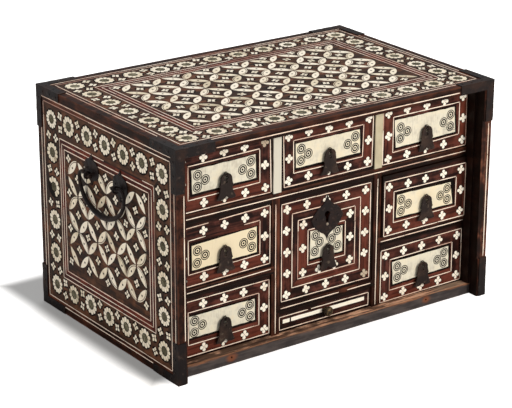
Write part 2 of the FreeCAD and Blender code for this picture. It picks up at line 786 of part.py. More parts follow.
def handle_mounts():
    """Four ogee plates and four staples: eye, leg through the side, and clinched end let into it."""
    half_height = size("bail_plate_height") / 2
    outline = ogee_outline(size("bail_plate_width") / 2, half_height, half_height,
                           BAIL_PLATE_SHARES, BAIL_PLATE_SHARES)
    hole = size("bail_leg_half") + size("bail_leg_play")
    low, high = -size("bail_plate_rise") - hole, hole - size("bail_plate_rise")
    outline += chain([(-hole, low), (hole, low), (hole, high), (-hole, high)])
    mounts = []
    for y in BAIL_EYES:
        plate = place(padded("YZ_Plane", outline, "bail_plate_thick"),
                      f"-{HALF_WIDTH} - bail_plate_thick", y, f"{BAIL_LEVEL} + bail_plate_rise")
        clinch = f"(-{INNER} - bail_clinch_thick)"
        staple = fused(
            eye(f"-{BAIL_AXIS}", y, BAIL_LEVEL, "bail_eye_radius", "bail_strip_half", Vector(0, 1, 0)),
            bar(f"-{BAIL_AXIS} + bail_eye_radius", y, BAIL_LEVEL, "bail_leg_half",
                f"{clinch} + bail_clinch_thick + {BAIL_AXIS} - bail_eye_radius", Vector(1, 0, 0)),
            box(clinch, f"{y} - bail_clinch_width / 2", f"{BAIL_LEVEL} - bail_clinch_length / 2",
                "bail_clinch_thick", "bail_clinch_width", "bail_clinch_length"))
        for thing in (plate, staple):
            mounts += [thing, mirrored(thing, Vector(1, 0, 0))]
    return group(*mounts)


def arc_stations(centre, radius, first, last):
    """Points and directions along an arc, after its start; angles in degrees from +Y towards +Z."""
    turn = 1 if last > first else -1
    count = max(1, round(radius * math.radians(abs(last - first)) / size("bail_station_step")))
    stations = []
    for step in range(1, count + 1):
        angle = math.radians(first + (last - first) * step / count)
        point = (centre[0] + radius * math.cos(angle), centre[1] + radius * math.sin(angle))
        stations.append((point, (-math.sin(angle) * turn, math.cos(angle) * turn)))
    return stations


def bail_half():
    """The rod's centre line, from the tip of one pin to the middle of the bottom, in tangent arcs."""
    hook, curl, side = size("bail_hook_radius"), size("bail_curl_radius"), size("bail_side_radius")
    turned = math.radians(BAIL_HOOK_ANGLE)
    curl_y = size("bail_half_width") - curl
    curl_z = (hook + curl) * (1 - math.cos(turned)) - curl
    pin_end = curl_y - (hook + curl) * math.sin(turned)
    pin_start = pin_end - size("bail_pin_length")
    side_y = size("bail_half_width") - side
    spare = size("bail_drop") + curl_z - side
    lift = (side_y ** 2 - spare ** 2) / (2 * spare)
    meet = -math.degrees(math.atan2(lift, side_y))
    stations = [((y, 0), (1, 0)) for y in (pin_start, (pin_start + pin_end) / 2, pin_end)]
    stations += arc_stations((pin_end, hook), hook, -90, BAIL_HOOK_ANGLE - 90)
    stations += arc_stations((curl_y, curl_z), curl, 90 + BAIL_HOOK_ANGLE, 0)
    stations += arc_stations((side_y, curl_z), side, 0, meet)
    stations += arc_stations((0, curl_z + lift), side + lift + spare, meet, -90)
    return stations


def bail():
    """A forged rod, thick in the middle, drawn down to the pins that sit in the staples' eyes."""
    half = bail_half()
    travelled = [0.0]
    for (before, _), (after, _) in zip(half, half[1:]):
        travelled.append(travelled[-1] + math.dist(before, after))
    thin, thick, tip = size("bail_pin_radius"), size("bail_rod_radius"), size("bail_tip_radius")
    (pin_start, _), _ = half[0]
    sections = [(pin_start - size("bail_tip_length") * share, 0, 1, 0, radius)
                for share, radius in ((1, thin), (3 / 4, tip), (1 / 4, tip))]
    for ((y, z), (along, up)), way in zip(half, travelled):
        share = way / travelled[-1]
        sections.append((y, z, along, up, thin + (thick - thin) * share ** 2))
    sections += [(-y, z, along, -up, radius) for y, z, along, up, radius in reversed(sections[:-1])]
    thing = doc.addObject("Part::Feature", "bail")
    thing.Shape = Part.makeLoft([forged_section(*section) for section in sections], True, True)
    return place(thing, f"-{BAIL_AXIS}", "-bail_forward", BAIL_LEVEL)


def forged_section(y, z, along, up, radius):
    """The flats round the rod, where it passes y and z in the direction along and up."""
    corners = []
    for flat in range(FORGED_FLATS + 1):
        angle = 2 * math.pi * flat / FORGED_FLATS
        out, across = radius * math.cos(angle), radius * math.sin(angle)
        corners.append(Vector(out, y - across * up, z + across * along))
    return Part.makePolygon(corners)


# Every sub-part, under its own name

keep("side_left", side_board())
keep("side_right", mirrored(side_board(), Vector(1, 0, 0)))
keep("top_board", top_board())
keep("bottom_board", bottom_board())
keep("back_board", back_board())
keep("main_shelf", main_shelf())
keep("lower_shelves", lower_shelves())
keep("partitions", partitions())
keep("bone_strips", bone_strips())
keep("corner_irons", corner_irons())
keep("handle_mounts", handle_mounts())
for drawer in BAYS:
    keep(f"drawer_front_{drawer}", drawer_front(drawer))
    keep(f"drawer_box_{drawer}", drawer_box(drawer))
    if drawer != "slim":
        keep(f"plaque_{drawer}", plaque(drawer))
        keep(f"pull_{drawer}", drop_pull(drawer))
        keep(f"pull_staple_{drawer}", pull_staple(drawer))
keep("slim_strips", slim_strips())
keep("knob", knob())
keep("lock_plate", lock_plate())
keep("lock_case", lock_case())
keep("lock_bolt", lock_bolt())
keep("bail_left", bail())
keep("bail_right", mirrored(bail(), Vector(1, 0, 0)))

doc.recompute()

for thing in doc.Objects:
    if "Invalid" in thing.State or "Error" in thing.State:
        raise RuntimeError(f"{thing.Label} failed: {thing.State}")
for piece in pieces:
    shape = piece.Shape
    if shape.isNull() or not shape.isValid() or not shape.Solids:
        raise RuntimeError(f"{piece.Label} has no valid solid")

os.makedirs("parts", exist_ok=True)
for piece in pieces:
    piece.Shape.exportStep(f"parts/{piece.Label}.step")
    print(piece.Label, len(piece.Shape.Solids), round(piece.Shape.Volume))
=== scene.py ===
"""The looks of the table cabinet: worn rosewood, bone inlay let into dark mastic, and forged iron.

Sizes are in millimetres until a mesh is made. On every face of the case, u runs to the right and
v up, seen from outside, and rise is how far a point stands proud of the wood.
"""

import collections
import json
import math
import random

import bmesh
import bpy
from mathutils import Matrix, Vector, noise


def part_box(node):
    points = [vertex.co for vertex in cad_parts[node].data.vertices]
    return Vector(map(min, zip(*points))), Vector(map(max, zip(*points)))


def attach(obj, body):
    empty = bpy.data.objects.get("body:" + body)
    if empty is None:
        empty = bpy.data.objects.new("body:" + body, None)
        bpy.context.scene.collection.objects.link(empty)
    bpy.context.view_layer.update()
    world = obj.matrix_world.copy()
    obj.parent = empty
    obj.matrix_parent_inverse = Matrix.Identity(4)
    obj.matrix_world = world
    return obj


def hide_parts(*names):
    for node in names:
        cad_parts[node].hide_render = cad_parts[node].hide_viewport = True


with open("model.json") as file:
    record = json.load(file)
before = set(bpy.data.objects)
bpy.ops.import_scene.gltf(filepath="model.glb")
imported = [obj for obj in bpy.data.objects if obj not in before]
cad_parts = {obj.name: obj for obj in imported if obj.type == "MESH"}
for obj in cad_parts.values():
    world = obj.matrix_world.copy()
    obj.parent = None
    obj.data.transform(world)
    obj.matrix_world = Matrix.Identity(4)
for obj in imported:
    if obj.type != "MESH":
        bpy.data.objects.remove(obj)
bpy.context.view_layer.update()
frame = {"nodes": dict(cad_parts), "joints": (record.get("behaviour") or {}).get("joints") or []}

MM = 0.001
FULL_TURN = 2 * math.pi
QUARTER_TURN = math.pi / 2

# The photograph's view of the cabinet
PHOTO_WIDTH = 512
FOCAL_PIXELS = 1980.2
AZIMUTH, ELEVATION, ROLL = -35.72, 20.39, 0.13
CAMERA_DISTANCE = 2364.0
CAMERA_TARGET = (-14.2, 0.0, 124.6)
SENSOR_WIDTH = 36.0

# How deep and how proud things sit
SUNK = 0.5
PROUD = 0.14
CHAMFER = 0.1
MASTIC_RISE = 0.03
ENGRAVED_RISE = 0.03
RISE_OF_BAND = 0.015
RISE_OF_VENEER = 0.012
RISE_OF_GROUND = 0.01

Extent = collections.namedtuple("Extent", "left front low right back high")


def extent(node):
    """A node's box in millimetres."""
    low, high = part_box(node)
    return Extent(*[value / MM for value in (*low, *high)])


CASE = Extent(*[value / MM for value in (*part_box("side_left")[0], *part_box("side_right")[1])])
CASE_DEPTH = CASE.back - CASE.front
CASE_WIDTH = CASE.right - CASE.left
DRAWER_SIDE_PLAY = 0.5
INNER = extent("drawer_front_top_left").left - DRAWER_SIDE_PLAY
DIVIDER_FRONT = extent("main_shelf").front
FRONT_NODE = "drawer_front_"
DRAWERS = sorted(name[len(FRONT_NODE):] for name in frame["nodes"] if name.startswith(FRONT_NODE))


# Shader maths


class Wire:
    """One socket of a material, on which sums can be written."""

    def __init__(self, paint, socket):
        self.paint, self.socket = paint, socket

    def __add__(self, other):
        return self.paint.maths("ADD", self, other)

    def __sub__(self, other):
        return self.paint.maths("SUBTRACT", self, other)

    def __rsub__(self, other):
        return self.paint.maths("SUBTRACT", other, self)

    def __mul__(self, other):
        return self.paint.maths("MULTIPLY", self, other)

    def __truediv__(self, other):
        return self.paint.maths("DIVIDE", self, other)

    def __pow__(self, other):
        return self.paint.maths("POWER", self, other)

    __radd__ = __add__
    __rmul__ = __mul__

    def least(self, other):
        return self.paint.maths("MINIMUM", self, other)

    def most(self, other):
        return self.paint.maths("MAXIMUM", self, other)

    def size(self):
        return self.paint.maths("ABSOLUTE", self)

    def step(self, low, high):
        """0 below low and 1 above high, with a soft passage between them."""
        node = self.paint.node("ShaderNodeMapRange", {"interpolation_type": "SMOOTHSTEP"},
                               {"Value": self, "From Min": low, "From Max": high})
        return Wire(self.paint, node.outputs["Result"])


# The sockets of a Mix node that take and give colours
COLOUR_A, COLOUR_B, MIXED_COLOUR = 6, 7, 2


class Paint:
    """The nodes of a material or of the world, made one by one."""

    def __init__(self, painted, shader="Principled BSDF"):
        painted.use_nodes = True
        self.painted, self.tree = painted, painted.node_tree
        self.shader = self.tree.nodes[shader]

    def node(self, kind, settings=None, values=None):
        """Any node: its settings first, and then the values or links of its sockets."""
        made = self.tree.nodes.new(kind)
        for setting, value in (settings or {}).items():
            setattr(made, setting, value)
        for socket, value in (values or {}).items():
            self.feed(made.inputs[socket], value)
        return made

    def feed(self, socket, value):
        if isinstance(value, Wire):
            self.tree.links.new(value.socket, socket)
        elif isinstance(value, str):
            socket.default_value = (*colour(value), 1)
        else:
            socket.default_value = value

    def maths(self, operation, first, second=None):
        node = self.node("ShaderNodeMath", {"operation": operation}, {0: first})
        if second is not None:
            self.feed(node.inputs[1], second)
        return Wire(self, node.outputs[0])

    def mix(self, share, first, second):
        """Colour first where share is 0 and second where it is 1."""
        node = self.node("ShaderNodeMix", {"data_type": "RGBA"},
                         {"Factor": share, COLOUR_A: first, COLOUR_B: second})
        return Wire(self, node.outputs[MIXED_COLOUR])

    def place(self):
        return Wire(self, self.node("ShaderNodeTexCoord").outputs["Object"])

    def xyz(self):
        """The three parts of a point's place, in millimetres."""
        split = self.node("ShaderNodeSeparateXYZ", None, {0: self.place()})
        return [Wire(self, split.outputs[axis]) / MM for axis in range(3)]

    def noise(self, grain, detail=3.0, shift=0.0, rough=0.55, bend=0.0):
        """Noise whose blots are as many millimetres across, each way, as grain says."""
        scaled = self.node("ShaderNodeMapping", None,
                           {"Vector": self.place(), "Scale": [1 / (size * MM) for size in grain],
                            "Location": [shift] * 3})
        node = self.node("ShaderNodeTexNoise", None,
                         {"Vector": Wire(self, scaled.outputs[0]), "Scale": 1.0, "Detail": detail,
                          "Roughness": rough, "Distortion": bend})
        return Wire(self, node.outputs["Fac"])

    def attribute(self, name):
        return Wire(self, self.node("ShaderNodeAttribute", {"attribute_name": name}).outputs["Fac"])

    def bump(self, height, distance, strength=1.0):
        node = self.node("ShaderNodeBump", None,
                         {"Height": height, "Distance": distance * MM, "Strength": strength})
        return Wire(self, node.outputs[0])

    def finish(self, **sockets):
        for socket, value in sockets.items():
            self.feed(self.shader.inputs[socket.replace("_", " ")], value)
        return self.painted


def new_paint(name):
    return Paint(bpy.data.materials.new(name))


def colour(text):
    """A colour written as six hex digits, in the renderer's own linear values."""
    parts = [int(text[start:start + 2], 16) / 255 for start in (0, 2, 4)]
    return [part / 12.92 if part <= 0.04045 else ((part + 0.055) / 1.055) ** 2.4 for part in parts]


def edge_distance(place, box):
    """How far a point on a board is from the nearest arris, in millimetres."""
    ways = []
    for axis, low, high in zip(place, box[:3], box[3:]):
        half = (high - low) / 2
        ways.append(half - (axis - (low + half)).size())
    a, b, c = ways
    return a.least(b).most(a.most(b).least(c))


GRAINS = {"x": (90, 5, 5), "y": (5, 90, 5), "z": (5, 5, 90)}
PORES = {"x": (14, 0.5, 0.5), "y": (0.5, 14, 0.5), "z": (0.5, 0.5, 14)}
# Painted shade for the dark gaps round the drawers and under the shelves
PAINTED_GAP_SHADE = "0d0604"


def wood(name, along, dark, body, light, shift=0.0, patch=30.0, rough=0.45, tinted=None, box=None,
         worn=None, wear=0.0, outer=None, rim=0.0, shaded_undersides=()):
    """Rosewood or its like: streaks and pores along the grain, and patches.

    Where chips of it differ, tinted is the colour that those with a high tint lean to. A board that
    fills a box has rubbed arrises of the worn colour, and is darker towards every arris. A side of
    the case gets painted shade, nearly black, on every face but its outer one, which is the one at
    the given X, and its front one. A drawer front gets painted shade close to its rim, and a shelf
    just over its underside, for the shade in the gaps round the drawers.
    """
    paint = new_paint(name)
    streak = paint.noise(GRAINS[along], detail=5, shift=shift, bend=0.4)
    blotch = paint.noise((patch,) * 3, detail=2, shift=shift + 7)
    pore = paint.noise(PORES[along], detail=2, shift=shift + 3, rough=0.7)
    shade = paint.mix((streak + (blotch - 0.5) * 0.7).step(0.36, 0.66), dark, body)
    shade = paint.mix(((blotch + (streak - 0.5) * 0.5).step(0.52, 0.72)) * 0.85, shade, light)
    if tinted:
        leaning = paint.attribute("tint").step(0.35, 1.0) * 0.6 * streak.step(0.2, 0.6)
        shade = paint.mix(leaning, shade, tinted)
    shade = paint.mix(pore.step(0.58, 0.7) * 0.55, shade, dark)
    roughness = rough + (pore - 0.5) * 0.25 + (blotch - 0.5) * 0.2
    if box:
        rub = paint.noise((16, 16, 16), detail=4, shift=shift + 11, rough=0.65)
        x, y, z = paint.xyz()
        reach = edge_distance((x, y, z), box)
        rubbed = (1 - (reach + (0.5 - rub) * 9).step(0.0, 2.4)) * wear
        shade = paint.mix(rubbed, shade, worn)
        # Darker towards every arris, over the last centimetre or so
        edge_darkening = 1 - (reach + (rub - 0.5) * 14).step(3.0, 12.0)
        shade = paint.mix(edge_darkening * (1 - rubbed) * 0.6, shade, "140a07")
        # Painted shade close to a drawer front's rim, for the dark gap round the drawer
        if rim:
            shade = paint.mix((1 - (reach + (rub - 0.5) * 5).step(1.6, 4.0)) * rim, shade, PAINTED_GAP_SHADE)
        # Painted shade in a band just over each shelf's underside, for the shaded gap above the
        # drawers below
        for level in shaded_undersides:
            over = (z - level - 0.8).size() + (rub - 0.5) * 3
            shade = paint.mix((1 - over.step(1.4, 3.2)) * 0.9, shade, PAINTED_GAP_SHADE)
        # Painted shade, nearly black, on every face of a side board but its outer and front ones
        if outer is not None:
            inside = (x - outer).size().step(1.0, 1.8) * (y - box.front).step(0.8, 1.6)
            shade = paint.mix(inside * 0.9, shade, "120907")
        roughness = roughness + rubbed * 0.12
    normal = paint.bump(pore * 0.6 + streak, 0.12, 0.5)
    return paint.finish(Base_Color=shade, Roughness=roughness, Specular_IOR_Level=0.08,
                        Normal=normal)


def bone(name, pale, mellow, stain):
    """Bone or ivory whose chips differ a little, with fine fibres and darker specks."""
    paint = new_paint(name)
    tint = paint.attribute("tint")
    fibre = paint.noise((0.7, 0.7, 9), detail=3)
    cloud = paint.noise((9, 9, 9), detail=3, shift=4)
    shade = paint.mix((tint * 0.8 + (cloud - 0.5) * 0.9).step(0.15, 0.95), pale, mellow)
    soiled = (cloud * 0.6 + fibre * 0.4 + (tint - 0.5) * 0.2).step(0.52, 0.74) * 0.45
    shade = paint.mix(soiled, shade, stain)
    shade = paint.mix((fibre.step(0.6, 0.78) * 0.25).most(tint.step(0.9, 1.0) * 0.8), shade, stain)
    return paint.finish(Base_Color=shade, Roughness=0.45 + (cloud - 0.5) * 0.2,
                        Specular_IOR_Level=0.2, Normal=paint.bump(fibre + cloud * 0.5, 0.05, 0.35))


def dark_filler(name, body, light):
    """The mastic that holds the inlay, and the wood it has soaked into."""
    paint = new_paint(name)
    grit = paint.noise((2.2, 2.2, 2.2), detail=4, rough=0.7)
    cloud = paint.noise((14, 14, 14), detail=2, shift=5)
    shade = paint.mix((grit * 0.6 + cloud * 0.4).step(0.42, 0.66), body, light)
    return paint.finish(Base_Color=shade, Roughness=0.6 + (grit - 0.5) * 0.3,
                        Specular_IOR_Level=0.05, Normal=paint.bump(grit, 0.1, 0.6))


def iron(name, body, rust, bright):
    """Old forged iron: nearly black, pitted, browned, a little brighter where hands rub it."""
    paint = new_paint(name)
    pit = paint.noise((1.6, 1.6, 1.6), detail=4, rough=0.7)
    beat = paint.noise((6, 6, 6), detail=2, shift=2)
    cloud = paint.noise((20, 20, 20), detail=3, shift=9)
    shade = paint.mix((cloud + (pit - 0.5) * 0.5).step(0.45, 0.68) * 0.8, body, rust)
    shade = paint.mix((beat + (pit - 0.5) * 0.3).step(0.6, 0.75) * 0.5, shade, bright)
    return paint.finish(Base_Color=shade, Metallic=0.2, Specular_IOR_Level=0.15,
                        Roughness=0.5 + (pit - 0.5) * 0.3 + (cloud - 0.5) * 0.15,
                        Normal=paint.bump(beat + pit * 0.35, 0.35, 0.6))


def old_brass():
    paint = new_paint("old_brass")
    tarnish = paint.noise((3, 3, 3), detail=4, rough=0.65)
    shade = paint.mix(tarnish.step(0.36, 0.56), "6a5638", "211a13")
    return paint.finish(Base_Color=shade, Metallic=0.7, Roughness=0.38 + (tarnish - 0.4) * 0.4,
                        Normal=paint.bump(tarnish, 0.08, 0.5))


BONE = bone("bone_ivory", "efe7d6", "dccfb4", "998b74")
CLOVER_BONE = bone("bone_clover", "ebe6da", "dad0be", "a5937e")
PLAQUE_BONE = bone("bone_plaque", "dbcfb2", "d3d2c6", "9c8c72")
SLIM_BONE = bone("bone_slim", "eeeade", "e2dcc8", "b5ab98")
STRIP_BONE = bone("bone_strip", "c6c3b6", "c4b893", "9b9384")
STRING = bone("bone_string", "f2e2d2", "e2c6b2", "96685a")
DISC = dark_filler("disc_horn", "413d2f", "827d69")
ENGRAVED = dark_filler("engraved_line", "0f0e0c", "25231e")
MASTIC = dark_filler("mastic", "0d0806", "22140f")
IRON = iron("forged_iron", "171213", "2e1e18", "4c403a")
PULL_IRON = iron("pull_iron", "211917", "3a2b24", "685b4f")
# A pale iron that paints the glint of a highlight on one nail head
HIGHLIGHT_IRON = iron("rubbed_iron", "8a7f72", "6b5f55", "b5aa9c")
BRASS = old_brass()
CEDAR = wood("cedar", "y", "4c3424", "664833", "77563e", patch=60, rough=0.6)
CEDAR_ACROSS = wood("cedar_across", "x", "4a3424", "5e4431", "6e513c", patch=80, rough=0.6)
RED_BAND = {along: wood("red_band_" + along, along, "38130c", "5a2216", "682e1f", patch=12)
            for along in "xyz"}
GROUND = {along: wood("inlay_ground_" + along, along, "22140c", "4a2e1e", "66402c", patch=18,
                      tinted="664230") for along in "xyz"}
BARE_STILE = wood("bare_stile", "z", "140906", "3c2118", "6b4130", patch=14)
ROSEWOOD = ("180a08", "46251e", "573029")
VENEER = {along: wood("drawer_veneer_" + along, along, *ROSEWOOD, patch=14, tinted="6e3526")
          for along in "xz"}


# Meshes


class Face:
    """A flat face. One of the cabinet's own starts at its lower left corner, seen from outside."""

    def __init__(self, start, right=(1, 0, 0), up=(0, 0, 1), width=0, height=0):
        self.start, self.right, self.up = Vector(start), Vector(right), Vector(up)
        self.out = self.right.cross(self.up)
        self.width, self.height = width, height

    def point(self, u, v, rise=0.0):
        return (self.start + self.right * u + self.up * v + self.out * rise) * MM


LEFT_FACE = Face((CASE.left, CASE.back, 0), (0, -1, 0), (0, 0, 1), CASE_DEPTH, CASE.high)
RIGHT_FACE = Face((CASE.right, CASE.front, 0), (0, 1, 0), (0, 0, 1), CASE_DEPTH, CASE.high)
TOP_FACE = Face((CASE.left, CASE.front, CASE.high), (1, 0, 0), (0, 1, 0), CASE_WIDTH, CASE_DEPTH)


def front_face(box):
    return Face((box.left, box.front, box.low), width=box.right - box.left,
                height=box.high - box.low)


def offset(outline, by):
    """The outline moved to its left by the given distance, corner by corner."""
    moved = []
    for before, here, after in zip(outline[-1:] + outline[:-1], outline, outline[1:] + outline[:1]):
        a = (Vector(here) - Vector(before)).normalized()
        b = (Vector(after) - Vector(here)).normalized()
        normal = Vector((-a.y - b.y, a.x + b.x))
        spread = max(normal.length_squared / 2, 0.35)
        moved.append(tuple(Vector(here) + normal * (by / spread)))
    return moved


def turned(outline, angle, centre=(0, 0), scale=1.0):
    """The outline turned about its own middle and set down at centre; scale stretches it along U."""
    c, s = math.cos(angle) * scale, math.sin(angle) * scale
    return [(centre[0] + c * x - s * y, centre[1] + s * x + c * y) for x, y in outline]


def arc(centre, radius, first, last, count):
    """Points on an arc, its angles in radians."""
    return [(centre[0] + radius * math.cos(first + (last - first) * step / count),
             centre[1] + radius * math.sin(first + (last - first) * step / count))
            for step in range(count + 1)]


def circle(radius, count, centre=(0, 0), way=1):
    """The corners of a round outline, which turns left, or right where way is -1."""
    return arc(centre, radius, 0, way * FULL_TURN * (count - 1) / count, count - 1)


class Build:
    """One mesh in the making. Each vertex has a tint, which tells one chip from the next."""

    def __init__(self):
        self.bm = bmesh.new()
        self.tint = self.bm.verts.layers.float.new("tint")

    def ring(self, points, tint=0.5):
        ring = []
        for point in points:
            vertex = self.bm.verts.new(point)
            vertex[self.tint] = tint
            ring.append(vertex)
        return ring

    def wall(self, low, high, smooth=False):
        """Quads between two closed rings of as many corners."""
        for a, b, c, d in zip(low, low[1:] + low[:1], high[1:] + high[:1], high):
            self.bm.faces.new((a, b, c, d)).smooth = smooth

    def tube(self, rings, smooth=True):
        """A closed tube through rings, with flat ends."""
        for low, high in zip(rings, rings[1:]):
            self.wall(low, high, smooth)
        self.bm.faces.new(list(reversed(rings[0])))
        self.bm.faces.new(rings[-1])

    def chip(self, face, outline, tint=0.5, rise=PROUD, chamfer=CHAMFER, sunk=SUNK):
        """A flat chip let into a face, standing a little proud, with rubbed arrises."""
        rings = [self.ring([face.point(u, v, height) for u, v in offset(outline, inset)], tint)
                 for height, inset in ((-sunk, 0), (rise - chamfer / 2, 0), (rise, chamfer))]
        for low, high in zip(rings, rings[1:]):
            self.wall(low, high)
        self.bm.faces.new(rings[-1])

    def plate(self, face, outlines, low, high, chamfer, bow=None):
        """A flat plate with holes, bowed as a function of u and v says."""
        lift = bow or (lambda u, v: 0.0)
        levels = ((low, chamfer), (low + chamfer, 0), (high - chamfer, 0), (high, chamfer))
        layers = [[] for _ in levels]
        for outline in outlines:
            for layer, (height, inset) in zip(layers, levels):
                layer.append(self.ring([face.point(u, v, height + lift(u, v))
                                        for u, v in offset(outline, inset)]))
        for under, over in zip(layers, layers[1:]):
            for lower, upper in zip(under, over):
                self.wall(lower, upper)
        for layer in (layers[0], layers[-1]):
            edges = [self.bm.edges.get(pair) for ring in layer
                     for pair in zip(ring, ring[1:] + ring[:1])]
            bmesh.ops.triangle_fill(self.bm, edges=edges, use_beauty=True)

    def dome(self, face, u, v, radius, height, base, rows=4, sides=14):
        """The round head of a nail."""
        rings = []
        for row in range(rows):
            angle = QUARTER_TURN * row / rows
            rings.append(self.ring([face.point(*spot, base + height * math.sin(angle))
                                    for spot in circle(radius * math.cos(angle), sides, (u, v))]))
        for low, high in zip(rings, rings[1:]):
            self.wall(low, high, True)
        self.bm.faces.new(rings[-1]).smooth = True

    def piece(self, name, body, slot, *materials):
        """The finished mesh as a piece of the cabinet that rides on a body."""
        bmesh.ops.recalc_face_normals(self.bm, faces=self.bm.faces)
        mesh = bpy.data.meshes.new(name)
        self.bm.to_mesh(mesh)
        self.bm.free()
        return as_piece(name, mesh, body, slot, *materials)


def as_piece(name, mesh, body, slot, *materials):
    piece = bpy.data.objects.new(name, mesh)
    bpy.context.scene.collection.objects.link(piece)
    for material in materials:
        mesh.materials.append(material)
    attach(piece, body)
    return piece


# Without a seed, the vector noise would be another one in each run
noise.seed_set(41)


def wobble(point, size, amount):
    """A steady, seeded shake of a point, for what was cut or beaten by hand."""
    return noise.noise_vector(point / (size * MM)) * (amount * MM)


# What a copied board is cut and rubbed by: clear of its own corners, and in patches of this size
WELD = 0.02
OFF_CORNERS = 0.013
SHARP = 0.5
RUB_SIZE, RUB_MORE = 9, 0.15
SHAKE_SIZE = 7


def worn_copy(node, name, body, slot, material, arris, wear, step=14.0, shake=0.0):
    """A copy of a node's mesh with its arrises rounded and rubbed, which stands for the node."""
    bm = bmesh.new()
    bm.from_mesh(frame["nodes"][node].data)
    bmesh.ops.remove_doubles(bm, verts=bm.verts, dist=WELD * MM)
    bmesh.ops.dissolve_limit(bm, angle_limit=math.radians(2), verts=bm.verts, edges=bm.edges)
    box = extent(node)
    for axis, (low, high) in enumerate(zip(box[:3], box[3:])):
        normal = Vector([float(axis == other) for other in range(3)])
        count = int((high - low) / step)
        for cut in range(1, count + 1):
            level = low + (high - low) * cut / (count + 1) + OFF_CORNERS
            bmesh.ops.bisect_plane(bm, geom=bm.verts[:] + bm.edges[:] + bm.faces[:], dist=0.000001,
                                   plane_co=normal * (level * MM), plane_no=normal)
    sharp = [edge for edge in bm.edges
             if len(edge.link_faces) == 2 and edge.calc_face_angle(0) > SHARP]
    made = bmesh.ops.bevel(bm, geom=sharp, offset=arris * MM, segments=2, profile=0.6,
                           affect="EDGES", clamp_overlap=True)
    bm.normal_update()
    rubbed = {vertex for face in made["faces"] for vertex in face.verts}
    for vertex in rubbed:
        depth = max(0.0, noise.noise(vertex.co / (RUB_SIZE * MM)) + RUB_MORE) * wear * MM
        vertex.co -= vertex.normal * depth
    for face in made["faces"]:
        face.smooth = True
    if shake:
        for vertex in bm.verts:
            vertex.co += wobble(vertex.co, SHAKE_SIZE, shake)
    mesh = bpy.data.meshes.new(name)
    bm.to_mesh(mesh)
    bm.free()
    piece = as_piece(name, mesh, body, slot, material)
    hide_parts(node)


def dress(material, *nodes):
    """Gives CAD nodes that keep their shape a material."""
    for node in nodes:
        frame["nodes"][node].data.materials.clear()
        frame["nodes"][node].data.materials.append(material)


# Inlay motifs, each drawn round its own centre

STRING_WIDTH = 1.05
STRING_GAP = 0.9
SHORTEST_STRING = 6


def string(build, face, start, end, rng, width=STRING_WIDTH, whole=70.0, missing=0.0):
    """A bone string from start to end, in short lengths butted by hand, some of them lost."""
    start, end = Vector(start), Vector(end)
    along = (end - start).normalized()
    across = Vector((-along.y, along.x))
    total = (end - start).length
    travelled = 0.0
    while travelled < total:
        length = min(whole * rng.uniform(0.45, 1.35), total - travelled)
        if total - travelled - length < SHORTEST_STRING:
            length = total - travelled
        if rng.random() >= missing:
            ribbon(build, face, start + along * travelled, along, across,
                   length - STRING_GAP * rng.uniform(0.2, 1.0), width, rng)
        travelled += length


def ribbon(build, face, start, along, across, length, width, rng):
    """One length of string, a little uneven, with blunt pointed ends."""
    if length < 1:
        return
    count = max(1, round(length / 8))
    left, right = [], []
    drift = rng.uniform(-0.12, 0.12)
    for step in range(count + 1):
        astray = drift + rng.uniform(-0.07, 0.07)
        middle = start + along * (length * step / count) + across * astray
        half = width / 2 * rng.uniform(0.88, 1.1)
        if step in (0, count):
            half *= 0.7
        left.append(tuple(middle + across * half))
        right.append(tuple(middle - across * half))
    nose = width * 0.3
    tip_start = tuple(start - along * nose * 0.4)
    tip_end = tuple(start + along * (length + nose * 0.4))
    outline = [tip_start] + right + [tip_end] + left[::-1]
    build.chip(face, outline, rng.random(), rise=PROUD * 0.8)


def frame_of_strings(build, face, left, low, right, high, rng, **way):
    """Four strings round a field."""
    for start, end in (((left, low), (right, low)), ((right, low), (right, high)),
                       ((left, high), (right, high)), ((left, low), (left, high))):
        string(build, face, start, end, rng, **way)


CLOVER_REACH = 3.3
CLOVER_LOBE = 2.15
CLOVER_BED = CLOVER_LOBE + 0.75


def clover(build, halo, face, centre, rng, tint=None):
    """Four pear-shaped lobes in a dark bed."""
    angle = rng.uniform(-0.22, 0.22)
    if tint is None:
        tint = rng.uniform(0.0, 0.55)
    bed = []
    for lobe in range(4):
        way = FULL_TURN * lobe / 4
        bed += turned(arc((CLOVER_REACH - 0.1, 0), CLOVER_BED, -1.9, 1.9, 8), way)
        reach = CLOVER_REACH * rng.uniform(0.93, 1.06)
        radius = CLOVER_LOBE * rng.uniform(0.9, 1.08)
        pear = [(0.12, 0.0), (1.5, -1.3)] + arc((reach, 0), radius, -2.0, 2.0, 10) + [(1.5, 1.3)]
        build.chip(face, turned(pear, angle + way + rng.uniform(-0.05, 0.05), centre),
                   min(1.0, tint + rng.uniform(0, 0.25)))
    halo.chip(face, turned(bed, angle, centre), rise=MASTIC_RISE, chamfer=0.01)


QUATREFOIL_REACH = 3.0
QUATREFOIL_HALF = 2.15
QUATREFOIL_BED = 6.2


def quatrefoil(build, halo, face, centre, rng, scale=1.0):
    """Four little lozenges round a dark dot."""
    angle = rng.choice((0.0, math.pi / 4)) * (rng.random() < 0.5) + rng.uniform(-0.3, 0.3)
    tint = rng.uniform(0.0, 0.6)
    for lobe in range(4):
        half = QUATREFOIL_HALF * rng.uniform(0.9, 1.1)
        near, wide, far = (QUATREFOIL_REACH + by for by in (-half * 1.05, -0.3, half * 1.1))
        lozenge = [(near, 0), (wide, -half), (far, -half * 0.25), (far, half * 0.25), (wide, half)]
        way = angle + FULL_TURN * lobe / 4 + rng.uniform(-0.1, 0.1)
        build.chip(face, turned(lozenge, way, centre, scale), min(1.0, tint + rng.uniform(0, 0.3)))
    halo.chip(face, turned(circle(QUATREFOIL_BED, 16), 0, centre, scale), rise=MASTIC_RISE,
              chamfer=0.01)


ROSETTE_RADIUS = 12.3
ROSETTE_EYE = 5.5
PETAL_GAP = 0.2


